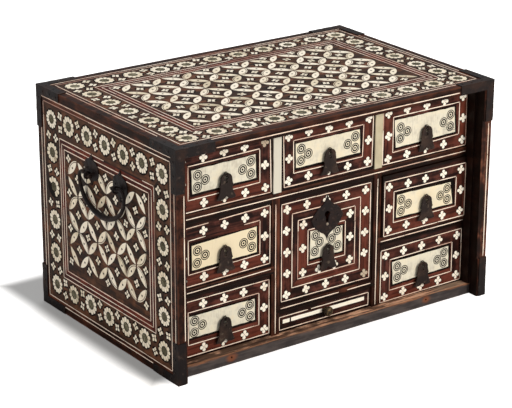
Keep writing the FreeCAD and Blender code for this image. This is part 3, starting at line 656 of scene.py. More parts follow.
def rosette(build, halo, discs, face, centre, rng, lost):
    """A daisy of bone petals round a disc of dark horn, some petals lost between two angles."""
    petals = rng.choice((11, 12, 12, 13))
    scale = rng.uniform(0.94, 1.03)
    angle = rng.uniform(0, 1)
    tint = rng.uniform(0.1, 0.9)
    half_turn = math.pi / petals
    for petal in range(petals):
        way = angle + 2 * half_turn * petal
        if lost and lost[0] < way % FULL_TURN < lost[1]:
            continue
        tip = (ROSETTE_RADIUS - 2.9) * rng.uniform(0.97, 1.03)
        radius = tip * math.tan(half_turn) - PETAL_GAP
        inner = ROSETTE_EYE + 0.35
        half = inner * math.tan(half_turn) - PETAL_GAP
        outline = [(inner, -half)] + arc((tip, 0), radius, -1.45, 1.45, 8) + [(inner, half)]
        build.chip(face, turned(outline, way, centre, scale),
                   min(1.0, max(0.0, tint + rng.uniform(-0.2, 0.2))))
    halo.chip(face, turned(circle(ROSETTE_RADIUS + 1.1, 32), 0, centre, scale), rise=MASTIC_RISE,
              chamfer=0.01)
    discs.chip(face, turned(circle(ROSETTE_EYE - 0.45, 24), 0, centre, scale), rng.random(),
               rise=PROUD * 0.8)


# A circle of lenses as it is drawn, before it is stretched to its pitch
CIRCLE_RADIUS = 21.25
LENS_HALF = math.radians(41)
BANDED_SHARE = 0.6
LENS_DOT = 1.35


def lens(build, dots, face, centre, pitch, way, rng):
    """One bone lens of a circle, often with a thin bone arc outside it."""
    banded = rng.random() < BANDED_SHARE
    outer_radius = CIRCLE_RADIUS - (1.9 if banded else 0.5)
    chord_half = outer_radius * math.sin(LENS_HALF)
    chord_at = outer_radius * math.cos(LENS_HALF)
    bulge = outer_radius - chord_at
    inner_bulge = bulge * rng.uniform(0.54, 0.76)
    inner_radius = (chord_half ** 2 + inner_bulge ** 2) / (2 * inner_bulge)
    inner_half = math.asin(chord_half / inner_radius)
    outer = arc((0, 0), outer_radius, -LENS_HALF, LENS_HALF, 8)
    inner = arc((chord_at - inner_bulge + inner_radius, 0), inner_radius, math.pi - inner_half,
                math.pi + inner_half, 8)
    tint = rng.random()
    middle = (outer_radius + chord_at - inner_bulge) / 2

    def placed(outline):
        return [tuple(start + reach * size / (2 * CIRCLE_RADIUS)
                      for start, reach, size in zip(centre, point, pitch))
                for point in turned(outline, way)]

    build.chip(face, placed(outer + inner[1:-1]), tint)
    if banded:
        thin = arc((0, 0), CIRCLE_RADIUS - 0.1, -LENS_HALF, LENS_HALF, 10)
        thin += arc((0, 0), CIRCLE_RADIUS - 1.05, LENS_HALF, -LENS_HALF, 10)
        build.chip(face, placed(thin), tint)
    dots.chip(face, placed(circle(LENS_DOT, 10, (middle, 0))), rise=PROUD + 0.03, chamfer=0.02,
              sunk=-0.05)


RINGS = ((6.3, 5.2), (4.3, 2.6))
RING_DOT = 1.35
RING_SCALE = 0.96


def ring_and_dot(build, face, centre):
    """Rings and a dot cut into a plaque with a centre bit, and rubbed with dark wax."""
    for outer, inner in RINGS:
        build.plate(face, [turned(circle(outer, 24), 0, centre, RING_SCALE),
                           turned(circle(inner, 24, way=-1), 0, centre, RING_SCALE)],
                    0.0, ENGRAVED_RISE, 0.003)
    build.chip(face, turned(circle(RING_DOT, 10), 0, centre, RING_SCALE), rise=ENGRAVED_RISE,
               chamfer=0.01, sunk=0.0)


# The case

# How each board's grain runs, where its noise starts, and its slot
BOARDS = {
    "side_left": ("y", 1.0, "inlaid_wood"), "side_right": ("y", 2.0, "inlaid_wood"),
    "top_board": ("x", 3.0, "inlaid_wood"), "bottom_board": ("x", 4.0, "plain_wood"),
    "main_shelf": ("x", 5.0, "rosewood"), "lower_shelves": ("x", 6.0, "rosewood"),
    "partitions": ("z", 7.0, "rosewood"),
}
CASE_COLOURS = ("200e08", "4a271b", "643726")
SIDE_SHELF_THICKNESS = 9.0
HINGE_NAILS = (-143.0, 143.0)
HINGE_NAIL_LEVEL = 8.0


def bottom_wood(box):
    """The bottom board's wood: its bare ledge is worn orange, and its front edge is nearly black."""
    paint = new_paint("wood_bottom_board")
    x, y, z = paint.xyz()
    streak = paint.noise((60, 4, 4), detail=5, shift=4, bend=0.4)
    fine = paint.noise((22, 1.6, 1.6), detail=4, shift=9, rough=0.65)
    blotch = paint.noise((24, 12, 12), detail=3, shift=12)
    shade = paint.mix(streak.step(0.36, 0.66), "24140f", "462d26")
    ledge = paint.mix((streak * 0.6 + fine * 0.4).step(0.44, 0.54), "58372a", "dcae90")
    dull = (blotch + (fine - 0.5) * 0.9 - x * 0.0009).step(0.46, 0.6)
    ledge = paint.mix(dull * 0.85, ledge, "1c0f0a")
    grey = x.step(150, 172) * (blotch * 0.5 + fine * 0.5).step(0.38, 0.55)
    ledge = paint.mix(grey * 0.8, ledge, "8f7b69")
    arris = 1 - (y + (fine - 0.5) * 5 - box.front).step(1.0, 3.5)
    ledge = paint.mix(arris * 0.75, ledge, "bd8a68")
    shade = paint.mix(z.step(box.high - 0.9, box.high - 0.3), shade, ledge)
    edge = paint.mix((blotch * 0.5 + streak * 0.5).step(0.4, 0.6), "2f2a2b", "47403f")
    chipped = (z + (streak - 0.5) * 9 + (fine - 0.5) * 5).step(box.high - 1.6, box.high + 0.8)
    edge = paint.mix(chipped * 0.8, edge, "8f5c3c")
    for nail in HINGE_NAILS:
        far = (((x - nail) * 0.6) ** 2.0 + (z - HINGE_NAIL_LEVEL) ** 2.0) ** 0.5
        edge = paint.mix((1 - (far + (blotch - 0.5) * 8).step(1.5, 6.0)) * 0.8, edge, "7a4426")
    shade = paint.mix(1 - y.step(box.front + 0.4, box.front + 1.0), shade, edge)
    return paint.finish(Base_Color=shade, Roughness=0.55 + (fine - 0.5) * 0.2,
                        Specular_IOR_Level=0.2, Normal=paint.bump(fine * 0.5 + streak, 0.15, 0.6))


def make_case():
    for node, (along, shift, slot) in BOARDS.items():
        box = extent(node)
        if node == "bottom_board":
            material = bottom_wood(box)
        else:
            # A side's faces inside the case and the band over each shelf's underside get painted
            # shade in wood()
            outer = {"side_left": box.left, "side_right": box.right}.get(node)
            shelves = {"main_shelf": (box.low,),
                       "lower_shelves": (box.low, box.high - SIDE_SHELF_THICKNESS)}
            material = wood("wood_" + node, along, *CASE_COLOURS, box=box, shift=shift, wear=0.35,
                            worn="7a4a35", outer=outer, shaded_undersides=shelves.get(node, ()))
        worn_copy(node, "worn_" + node, "case", slot, material, arris=0.8, wear=0.5)
    dress(CEDAR_ACROSS, "back_board")


# The inlay of a face. Its frames of strings are so far in from its left, lower, right and upper
# edges, two outside its rosettes and three inside them. Its field is so many circles across and up,
# from the middle of the first one, and may have a half column after them.
Layout = collections.namedtuple(
    "Layout", "outer inner columns rows first pitch across up half_column")
SIDE_LAYOUT = Layout(
    outer=((7.9, 13.75), (8.75, 13.75), (4.75, 12.25), (10.9, 15.9)),
    inner=((49.0, 53.7, 58.9), (47.5, 53.0, 58.5), (44.7, 49.7, 55.0), (53.0, 58.5, 64.0)),
    columns=[32.3, 71.0, 110.0, 148.5, 187.3, 226.0, 266.3],
    rows=[32.8, 73.8, 115.5, 157.0, 199.0, 240.3],
    first=(87.4, 94.5), pitch=(41.3, 43.5), across=4, up=3, half_column=False)
TOP_LAYOUT = Layout(
    outer=((10.5, 15.5), (9.5, 15.0), (8.8, 13.8), (11.0, 16.0)),
    inner=((49.8, 55.3, 61.0), (43.5, 49.0, 54.6), (47.0, 52.5, 58.4), (48.5, 54.6, 60.8)),
    columns=[33.1, 72.2, 112.5, 150.6, 188.4, 227.0, 264.6, 302.4, 341.0, 379.6, 416.9],
    rows=[29.0, 65.2, 104.2, 145.0, 184.8, 223.3, 262.0],
    first=(88.4, 82.0), pitch=(42.3, 42.3), across=7, up=4, half_column=True)
LOST_PETALS = {("left", 0, 3): (2.6, 5.2)}
BAND_GAP, FIELD_GAP = 1.0, 1.2
QUATREFOILS_ASIDE = (-8.0, 8.0)
FIELD_MARGIN = 1.5


def mirrored(layout, width):
    """The layout of the side across from another one."""
    def swapped(insets):
        return insets[2], insets[1], insets[0], insets[3]

    first, pitch = layout.first, layout.pitch
    return layout._replace(outer=swapped(layout.outer), inner=swapped(layout.inner),
                           columns=[width - u for u in reversed(layout.columns)],
                           first=(width - first[0] - (layout.across - 1) * pitch[0], first[1]))


def inlay_face(name, face, layout, seed):
    """The whole inlay of one side or of the top."""
    rng = random.Random(seed)
    bones, strings, halo, discs = Build(), Build(), Build(), Build()
    red = {"flat": Build(), "upright": Build()}
    ground = {"flat": Build(), "upright": Build()}
    columns, rows = layout.columns, layout.rows

    def nested(insets, index, by=0.0):
        left, low, right, high = [side[index] for side in insets]
        return left + by, low + by, face.width - right - by, face.height - high - by

    for index in range(2):
        frame_of_strings(strings, face, *nested(layout.outer, index), rng, whole=90, missing=0.04)
    for index in range(3):
        frame_of_strings(strings, face, *nested(layout.inner, index), rng, whole=80, missing=0.02)
    middle_field = nested(layout.inner, 2, FIELD_GAP)
    mitred_band(ground, face, nested(layout.outer, 1, BAND_GAP), nested(layout.inner, 0, -BAND_GAP),
                rng)
    ground["flat"].chip(face, rectangle(*middle_field), 0.3, rise=RISE_OF_GROUND, chamfer=0.002)
    mitred_band(red, face, nested(layout.inner, 0, BAND_GAP), middle_field, rng)
    for column, u in enumerate(columns):
        for row, v in enumerate(rows):
            edge_row = row in (0, len(rows) - 1)
            edge_column = column in (0, len(columns) - 1)
            if not (edge_row or edge_column):
                continue
            spot = (u + rng.uniform(-0.7, 0.7), v + rng.uniform(-0.7, 0.7))
            rosette(bones, halo, discs, face, spot, rng, LOST_PETALS.get((name, column, row), ()))
            if edge_row and column + 1 < len(columns):
                middle = (u + columns[column + 1]) / 2
                for aside in QUATREFOILS_ASIDE:
                    spot = (middle + rng.uniform(-0.8, 0.8), v + aside)
                    quatrefoil(bones, halo, face, spot, rng)
            if edge_column and row + 1 < len(rows):
                middle = (v + rows[row + 1]) / 2
                for aside in QUATREFOILS_ASIDE:
                    spot = (u + aside, middle + rng.uniform(-0.8, 0.8))
                    quatrefoil(bones, halo, face, spot, rng)
    field(bones, halo, face, layout, rng)
    bones.piece("bone_inlay_" + name, "case", "inlaid_wood", BONE)
    strings.piece("bone_strings_" + name, "case", "inlaid_wood", STRING)
    halo.piece("mastic_" + name, "case", "inlaid_wood", MASTIC)
    discs.piece("horn_discs_" + name, "case", "inlaid_wood", DISC)
    grain = {"flat": "x" if name == "top" else "y", "upright": "y" if name == "top" else "z"}
    for way, along in grain.items():
        red[way].piece(f"red_band_{way}_{name}", "case", "inlaid_wood", RED_BAND[along])
        ground[way].piece(f"ground_{way}_{name}", "case", "inlaid_wood", GROUND[along])


def mitred(outside, inside):
    """The lower, upper, left and right mitred boards between two rectangles."""
    l0, b0, r0, t0 = outside
    l1, b1, r1, t1 = inside
    return [[(l0, b0), (r0, b0), (r1, b1), (l1, b1)], [(l1, t1), (r1, t1), (r0, t0), (l0, t0)],
            [(l0, b0), (l1, b1), (l1, t1), (l0, t0)], [(r1, b1), (r0, b0), (r0, t0), (r1, t1)]]


def mitred_band(builds, face, outside, inside, rng):
    """Four mitred boards, the level ones in one build and the upright ones in the other."""
    for index, outline in enumerate(mitred(outside, inside)):
        build = builds["flat" if index < 2 else "upright"]
        build.chip(face, outline, rng.uniform(0, 0.8), rise=RISE_OF_BAND, chamfer=0.003)


def field(bones, halo, face, layout, rng):
    """Circles of four lenses that touch both ways, with a quatrefoil in every space."""
    first, pitch, across, up = layout.first, layout.pitch, layout.across, layout.up
    for i in range(across + layout.half_column):
        for j in range(up):
            centre = (first[0] + pitch[0] * i, first[1] + pitch[1] * j)
            for quarter in range(4):
                if i == across and quarter in (0, 3):
                    continue
                way = QUARTER_TURN / 2 + quarter * QUARTER_TURN
                lens(bones, halo, face, centre, pitch, way, rng)
            if i < across:
                quatrefoil(bones, halo, face, centre, rng)
    for i in range(across + 1):
        for j in range(up + 1):
            spot = [first[0] + pitch[0] * (i - 0.5), first[1] + pitch[1] * (j - 0.5)]
            if i == 0 or (i == across and not layout.half_column):
                spot[0] += FIELD_MARGIN * (1 if i == 0 else -1)
            spot[1] += FIELD_MARGIN * (1 if j == 0 else -1 if j == up else 0)
            quatrefoil(bones, halo, face, spot, rng, 0.95)


def make_case_inlay():
    inlay_face("left", LEFT_FACE, SIDE_LAYOUT, seed=11)
    inlay_face("right", RIGHT_FACE, mirrored(SIDE_LAYOUT, RIGHT_FACE.width), seed=23)
    inlay_face("top", TOP_FACE, TOP_LAYOUT, seed=37)


# Where the strings on the front edges run, from the case's or a shelf's own edges
CLEAR_OF_IRONS = 52
LEFT_STILE_STRING, RIGHT_STILE_STRING, TOP_STRING, REBATE_STRING = 9.5, 4.5, 7, 11.7
MAIN_SHELF_STRING, CENTRE_SHELF_STRING = 5.4, 4.6
SIDE_SHELF_STRINGS = (54.4, 57.4), (53.9, 53.9)
CENTRE_SHELF_SPANS = (-66, 19), (31, 66)
PARTITION_STRINGS = (-73.6, 73.4)
BARE_STILE_END, BARE_STILE_EDGE = 49.5, 0.8


def make_edge_strings():
    """The strings on the front edges of case, shelves and partitions, and the bare right stile."""
    rng = random.Random(5)
    build, stile = Build(), Build()
    front, step, inner = [Face((0, depth, 0)) for depth in
                          (CASE.front, extent("bottom_board").front, DIVIDER_FRONT)]
    thick = extent("side_right").right - extent("side_right").left
    stile.chip(front, rectangle(CASE.right - thick + BARE_STILE_EDGE, BARE_STILE_END,
                                CASE.right - BARE_STILE_EDGE, CASE.high - BARE_STILE_END),
               1.0, rise=RISE_OF_VENEER, chamfer=0.002)
    stile.piece("bare_stile", "case", "rosewood", BARE_STILE)
    for u in (CASE.left + LEFT_STILE_STRING, CASE.right - RIGHT_STILE_STRING):
        string(build, front, (u, CLEAR_OF_IRONS), (u, CASE.high - CLEAR_OF_IRONS), rng, whole=120)
    level = CASE.high - TOP_STRING
    string(build, front, (CASE.left + CLEAR_OF_IRONS, level), (CASE.right - CLEAR_OF_IRONS, level),
           rng, whole=120)
    level = CASE.high - REBATE_STRING
    string(build, step, (INNER + 2, level), (-INNER - 2, level), rng, width=1.2, whole=95)
    shelf, lower = extent("main_shelf"), extent("lower_shelves")
    level = shelf.low + MAIN_SHELF_STRING
    string(build, inner, (INNER + 1, level), (-INNER - 1, level), rng, whole=100)
    for (start, end), levels in zip(((INNER + 1, -80), (80, -INNER - 1)), SIDE_SHELF_STRINGS):
        string(build, inner, (start, lower.low + levels[0]), (end, lower.low + levels[1]), rng)
    level = lower.low + CENTRE_SHELF_STRING
    for start, end in CENTRE_SHELF_SPANS:
        string(build, inner, (start, level), (end, level), rng)
    for u in PARTITION_STRINGS:
        string(build, inner, (u, 15), (u, shelf.low - 2), rng, whole=140)
    build.piece("bone_strings_edges", "case", "rosewood", STRING)


# The drawers. The strings of each were laid by eye, so each frame is a quad: its lower left, lower
# right, upper right and upper left corners, from the front's own lower left one. The gaps are
# lengths of the upper strings that are lost.
Drawer = collections.namedtuple("Drawer", "outer inner plaque outer_gap inner_gap",
                                defaults=(None, None))
DRAWER_SHEETS = {
    "top_left": Drawer(((1.4, 1.6), (128.6, 2.4), (127.0, 68.6), (1.4, 68.4)),
                       ((17.0, 15.5), (113.0, 17.0), (112.6, 56.5), (17.3, 54.5)),
                       ((22.6, 21.9), (107.9, 23.6), (106.8, 51.3), (21.1, 49.3))),
    "top_middle": Drawer(((4.4, 3.6), (130.2, 4.2), (131.4, 68.4), (3.2, 68.4)),
                         ((17.6, 18.0), (116.4, 18.5), (117.4, 57.2), (17.2, 56.8)),
                         ((20.6, 23.9), (112.6, 24.2), (111.2, 52.4), (20.0, 52.4))),
    "top_right": Drawer(((1.6, 1.8), (129.2, 2.0), (128.6, 68.4), (1.6, 68.4)),
                        ((16.4, 14.1), (117.5, 17.8), (117.5, 57.5), (16.4, 57.5)),
                        ((20.7, 19.3), (111.8, 21.6), (109.5, 53.2), (18.3, 53.2))),
    "middle_left": Drawer(((1.6, 1.7), (127.7, 4.3), (127.9, 74.6), (1.6, 70.6)),
                          ((16.9, 15.8), (113.9, 18.5), (113.9, 59.5), (16.9, 56.3)),
                          ((21.6, 20.5), (109.3, 22.3), (109.1, 53.1), (21.4, 49.4)),
                          (44.6, 58.5), (40.0, 92.3)),
    "middle_right": Drawer(((2.9, 0.9), (127.8, 0.9), (127.8, 68.2), (2.9, 68.9)),
                           ((16.7, 15.5), (113.1, 16.0), (113.1, 53.6), (16.7, 54.2)),
                           ((20.9, 20.8), (108.0, 20.4), (104.3, 48.2), (21.6, 49.4))),
    "lower_left": Drawer(((1.6, 2.8), (127.6, 3.6), (127.6, 70.1), (1.6, 69.4)),
                         ((16.6, 16.9), (113.3, 17.5), (113.3, 56.9), (16.6, 56.3)),
                         ((17.7, 25.0), (107.6, 25.3), (107.0, 51.5), (17.7, 51.2))),
    "lower_right": Drawer(((1.9, 1.4), (127.6, 2.5), (127.6, 68.9), (1.9, 67.6)),
                          ((15.7, 14.2), (113.0, 15.9), (113.0, 54.5), (15.7, 53.5)),
                          ((21.0, 20.9), (108.0, 23.5), (107.0, 50.5), (19.1, 49.7))),
    "centre": Drawer(((3.0, 4.0), (131.6, 4.0), (131.6, 122.9), (3.0, 122.9)),
                     ((17.9, 18.0), (116.6, 18.0), (116.6, 108.6), (17.9, 108.6)),
                     ((43.8, 47.3), (90.4, 47.3), (90.4, 79.2), (43.8, 81.8))),
    "slim": Drawer(((1.3, 3.0), (132.0, 3.0), (132.0, 19.0), (1.3, 19.0)), None, None,
                   (43.0, 47.0)),
}
UNDER_LOCK = (58.0, 77.0)
CENTRE_THIRD = (26.2, 27.0), (109.0, 27.0), (109.0, 98.9), (26.2, 98.9)
CENTRE_FOURTH = (40.5, 41.0), (94.7, 41.0), (94.7, 84.3), (40.5, 84.3)
# Where the plaques' ring marks stand, from each end and from the middle line, and on the centre one
RING_SPOTS = (7.2, 7.0), (7.2, -7.0), (17.8, 0.0)
CENTRE_RING_SPOTS = ((51.2, 75.0), (57.0, 66.0), (50.3, 55.9),
                     (83.0, 74.6), (74.7, 66.1), (83.2, 55.9))
# The clover of a drawer that has gone brown, and how grey its plaque is, which stays under 0.9
STAINED = {"top_left": (4, 2), "centre": (4, 0)}
GREYNESS = {"top_left": 0.88, "top_middle": 0.7, "top_right": 0.8, "middle_right": 0.5,
            "lower_left": 0.85, "lower_right": 0.88, "centre": 0.85}
PALE = 0.1
PLAQUE_RISE = 0.35
PLAQUE_SUNK, BED_SUNK = 1.2, 1.4
BED_EDGE = 0.2
# How far the mastic round a plaque is smeared past its corners
SMEAR = ((-2.8, -2.7), (2.9, -2.5), (2.7, 1.0), (-2.4, 0.9))
CRACKED = "top_right"
CRACKS = (((90.6, 31.0), (110.6, 27.2)), ((88.4, 29.6), (111.0, 24.4)))
VENEER_GAP = 0.8


def body_named(drawer):
    return "drawer_" + drawer


def within(quad, across, up):
    """The point of a quad at the given shares of its width and height."""
    low_left, low_right, high_right, high_left = [Vector(corner) for corner in quad]
    return low_left.lerp(low_right, across).lerp(high_left.lerp(high_right, across), up)


def between(outer, inner, share=0.5):
    return [tuple(Vector(a).lerp(Vector(b), share)) for a, b in zip(outer, inner)]


def frame_on(build, face, quad, rng, gap=None, **way):
    """Four strings along the sides of a quad, the upper one with a length lost."""
    low_left, low_right, high_right, high_left = [Vector(corner) for corner in quad]
    ends = [(low_left, low_right), (low_right, high_right), (low_left, high_left)]
    if gap:
        total = high_right.x - high_left.x
        ends += [(high_left, high_left.lerp(high_right, (gap[0] - high_left.x) / total)),
                 (high_left.lerp(high_right, (gap[1] - high_left.x) / total), high_right)]
    else:
        ends.append((high_left, high_right))
    for start, end in ends:
        string(build, face, start, end, rng, **way)


def veneer_between(builds, face, outer, inner, rng, gap=None):
    """Mitred slips of veneer between two frames of strings, the upper one with a length left out."""
    outer, inner = offset(list(outer), VENEER_GAP), offset(list(inner), -VENEER_GAP)
    for side in range(4):
        after = (side + 1) % 4
        outline = [outer[side], outer[after], inner[after], inner[side]]
        slips = [outline]
        if gap and side == 2:
            near, far = ([(gap[end], outline[row][1]) for row in (0, 3)] for end in (1, 0))
            slips = [[outline[0], near[0], near[1], outline[3]],
                     [far[0], outline[1], outline[2], far[1]]]
        for slip in slips:
            builds[side % 2].chip(face, slip, rng.random(), rise=RISE_OF_VENEER, chamfer=0.002)


def clover_ring(build, halo, face, outer, inner, across, up, rng, stained=None):
    """Clovers along the middle of a frame: so many across and so many up, corners included."""
    middle = between(outer, inner)
    for i in range(across):
        for j in range(up):
            if 0 < i < across - 1 and 0 < j < up - 1:
                continue
            u, v = within(middle, i / (across - 1), j / (up - 1))
            spot = (u + rng.uniform(-0.7, 0.7), v + rng.uniform(-0.5, 0.5))
            clover(build, halo, face, spot, rng, tint=1.0 if (i, j) == stained else None)


def nibbled(corners, rng, step=7.0, bite=0.35):
    """A quad whose edges were sawn and chipped by hand."""
    outline = []
    for (x0, y0), (x1, y1) in zip(corners, corners[1:] + corners[:1]):
        count = max(2, round(math.dist((x0, y0), (x1, y1)) / step))
        for point in range(count):
            share = point / count
            shake = 0 if point == 0 else bite
            outline.append((x0 + (x1 - x0) * share + rng.uniform(-shake, shake),
                            y0 + (y1 - y0) * share + rng.uniform(-shake, shake)))
    return outline


def rectangle(left, low, right, high):
    return (left, low), (right, low), (right, high), (left, high)


def make_plaque(drawer, face, rng):
    """A drawer's plaque in its bed of mastic, with what is cut into it and what has cracked."""
    quad = DRAWER_SHEETS[drawer].plaque
    box = extent("plaque_" + drawer)
    left, low = box.left - face.start.x - BED_EDGE, box.low - face.start.z - BED_EDGE
    bed = Build()
    bed.chip(face, rectangle(left, low, left + box.right - box.left + 2 * BED_EDGE,
                             low + box.high - box.low + 2 * BED_EDGE),
             rise=0.02, chamfer=0.01, sunk=BED_SUNK)
    grown = [(u + du, v + dv) for (u, v), (du, dv) in zip(quad, SMEAR)]
    bed.chip(face, nibbled(grown, rng, bite=0.45), rise=MASTIC_RISE, chamfer=0.01)
    bed.piece("plaque_bed_" + drawer, body_named(drawer), "rosewood", MASTIC)
    plaque = Build()
    plaque.chip(face, nibbled(quad, rng), GREYNESS.get(drawer, PALE), rise=PLAQUE_RISE, chamfer=0.2,
                sunk=PLAQUE_SUNK)
    piece = plaque.piece("bone_plaque_" + drawer, body_named(drawer), "bone", PLAQUE_BONE)
    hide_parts("plaque_" + drawer)
    cuts = Build()
    plane = Face(face.start + face.out * PLAQUE_RISE)
    for spot in CENTRE_RING_SPOTS if drawer == "centre" else ring_spots(quad, rng):
        ring_and_dot(cuts, plane, spot)
    if drawer == CRACKED:
        for first, last in CRACKS:
            crack(cuts, plane, first, last, rng)
    cuts.piece("plaque_rings_" + drawer, body_named(drawer), "bone", ENGRAVED)


def ring_spots(quad, rng):
    """Where the ring marks of a plaque are cut, three at each end."""
    spots = []
    width = quad[1][0] - quad[0][0]
    for end, inward in ((0.0, 1), (1.0, -1)):
        for du, dv in RING_SPOTS:
            spot = within(quad, end + inward * du / width, 0.5) + Vector((0, dv))
            spots.append((spot.x + rng.uniform(-0.4, 0.4), spot.y + rng.uniform(-0.4, 0.4)))
    return spots


def crack(build, face, first, last, rng, count=6):
    """A crack that opens from its first point to its last."""
    first, last = Vector(first), Vector(last)
    across = (last - first).orthogonal().normalized()
    middles = [first.lerp(last, step / count) + across * rng.uniform(-0.25, 0.25)
               for step in range(count + 1)]
    halves = [across * (0.05 + 0.2 * step / count) for step in range(count + 1)]
    upper = [tuple(middle + half) for middle, half in zip(middles, halves)]
    lower = [tuple(middle - half) for middle, half in zip(middles, halves)]
    if across.y < 0:
        upper, lower = lower, upper
    build.chip(face, lower + upper[::-1], rise=ENGRAVED_RISE, chamfer=0.005, sunk=0.0)


def make_drawer(drawer):
    rng = random.Random("drawer " + drawer)
    node, body = FRONT_NODE + drawer, body_named(drawer)
    box = extent(node)
    face = front_face(box)
    sheet = DRAWER_SHEETS[drawer]
    # rim paints shade close to the front's edges, for the dark gaps round the drawer
    material = wood("rosewood_" + drawer, "x", *ROSEWOOD, box=box, worn="6e3a28", wear=0.3,
                    rim=0.85, shift=20 + DRAWERS.index(drawer) * 3.7, patch=22)
    worn_copy(node, "worn_front_" + drawer, body, "rosewood", material, arris=0.5, wear=0.3, step=11)
    dress(CEDAR, "drawer_box_" + drawer)
    strings = Build()
    frame_on(strings, face, sheet.outer, rng, sheet.outer_gap, whole=75)
    if drawer == "slim":
        make_slim_strips(face, rng)
    else:
        centre = drawer == "centre"
        bones, halo, veneer = Build(), Build(), (Build(), Build())
        frame_on(strings, face, sheet.inner, rng, sheet.inner_gap, whole=60)
        clover_ring(bones, halo, face, sheet.outer, sheet.inner, 5, 5 if centre else 3, rng,
                    STAINED.get(drawer))
        make_plaque(drawer, face, rng)
        quads = [sheet.outer, sheet.inner]
        if centre:
            frame_on(strings, face, CENTRE_THIRD, rng, UNDER_LOCK, whole=55)
            frame_on(strings, face, CENTRE_FOURTH, rng, whole=45)
            make_inner_clovers(bones, halo, face, rng)
            quads += [CENTRE_THIRD, CENTRE_FOURTH]
        for outer, inner in zip(quads, quads[1:] + [sheet.plaque]):
            veneer_between(veneer, face, outer, inner, rng, UNDER_LOCK if centre else None)
        bones.piece("bone_clovers_" + drawer, body, "bone", CLOVER_BONE)
        halo.piece("mastic_" + drawer, body, "rosewood", MASTIC)
        for build, along in zip(veneer, "xz"):
            build.piece(f"veneer_{along}_{drawer}", body, "rosewood", VENEER[along])
    strings.piece("bone_strings_" + drawer, body, "bone", STRING)


# Shares of the centre drawer's inner ring, across and up; the lock plate hides its upper middle
INNER_CLOVERS = ((0, 1), (1, 1), (0, 0.5), (1, 0.5), (0, 0), (1, 0), (0.34, -0.015), (0.68, -0.02))


def make_inner_clovers(bones, halo, face, rng):
    middle = between(CENTRE_THIRD, CENTRE_FOURTH)
    for across, up in INNER_CLOVERS:
        u, v = within(middle, across, up)
        clover(bones, halo, face, (u + rng.uniform(-0.6, 0.6), v + rng.uniform(-0.6, 0.6)), rng)


# The slim drawer's bone pieces, from the first one's left end, and the partitions' strips
SLIM_SPANS = ((0, 10), (12, 57), (66, 119.5))
STRIP_WIDTH = 11.0
STRIP_EDGE = 0.1


def make_slim_strips(face, rng):
    box = extent("slim_strips")
    strips = Build()
    low, high = box.low - face.start.z, box.high - face.start.z
    start = box.left - face.start.x
    for left, right in SLIM_SPANS:
        outline = nibbled(rectangle(start + left, low, start + right, high), rng, 6, 0.2)
        strips.chip(face, outline, rng.uniform(0.0, 0.6), rise=0.3, chamfer=0.15, sunk=PLAQUE_SUNK)
    piece = strips.piece("bone_slim_strips", body_named("slim"), "bone", SLIM_BONE)
    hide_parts("slim_strips")


def make_bone_strips():
    rng = random.Random(77)
    box = extent("bone_strips")
    face = front_face(box)
    back = Face(face.start + Vector((0, box.back - box.front, 0)))
    strips = Build()
    for left, tint in ((0.0, 0.05), (face.width - STRIP_WIDTH, 0.95)):
        outline = rectangle(left + STRIP_EDGE, STRIP_EDGE, left + STRIP_WIDTH - STRIP_EDGE,
                            face.height - STRIP_EDGE)
        strips.chip(back, nibbled(outline, rng, 9, 0.2), tint, rise=box.back - box.front,
                    chamfer=0.35, sunk=0.2)
    piece = strips.piece("bone_partition_strips", "case", "bone", STRIP_BONE)
    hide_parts("bone_strips")


# Ironwork

PULL_PLATE = 1.6
PULL_LOBE, PULL_TOP = 7.8, 1.6
PULL_EYE, PULL_EYE_DROP = 2.2, 3.8
PULL_PIERCING, PULL_PIERCING_DROP = 1.15, 8.5
STAPLE_RADIUS, STAPLE_HALF, STAPLE_LEG = 2.7, 0.6, 0.95
STAPLE_CLINCH = 1.2


def joint_place(name):
    joint = next(joint for joint in frame["joints"] if joint["name"] == name)
    return Vector([value / MM for value in joint["pos_m"]])


def pull_outline():
    """The right half of a bell, from its crown to the notch below, in X and Z from its axis."""
    crown = arc((0, PULL_TOP - PULL_LOBE), PULL_LOBE, QUARTER_TURN, 0.0, 9)
    barb = [(8.3, -9.6), (8.6, -11.4), (9.5, -12.5), (9.2, -13.4), (8.5, -13.4), (8.2, -15.0)]
    flare = [(8.7, -18.0), (9.9, -21.6), (11.4, -24.8), (12.7, -27.3), (12.3, -28.3)]
    foot = [(10.2, -28.8), (7.4, -29.0), (4.6, -28.5), (2.3, -27.3), (0.0, -25.0)]
    return crown + barb + flare + foot


def make_pull(drawer):
    rng = random.Random("pull " + drawer)
    place = joint_place("swing_pull_" + drawer)
    face = Face(place)
    half = pull_outline()
    right = [(x * rng.uniform(0.97, 1.03), z) for x, z in half]
    left = [(-x * rng.uniform(0.97, 1.03), z) for x, z in half[1:-1]]
    rim = [half[0]] + left + [half[-1]] + right[::-1][1:-1]
    eye = circle(PULL_EYE, 16, (0, -PULL_EYE_DROP), way=-1)
    piercing = circle(PULL_PIERCING, 8, (0, -PULL_PIERCING_DROP), way=-1)
    build = Build()
    build.plate(face, [rim, eye, piercing], -PULL_PLATE / 2, PULL_PLATE / 2, 0.3,
                bow=lambda u, v: -0.0025 * u * u + 0.12 * math.sin(v * 0.4 + u * 0.2))
    piece = build.piece("iron_pull_" + drawer, "pull_" + drawer, "iron", PULL_IRON)
    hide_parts("pull_" + drawer)


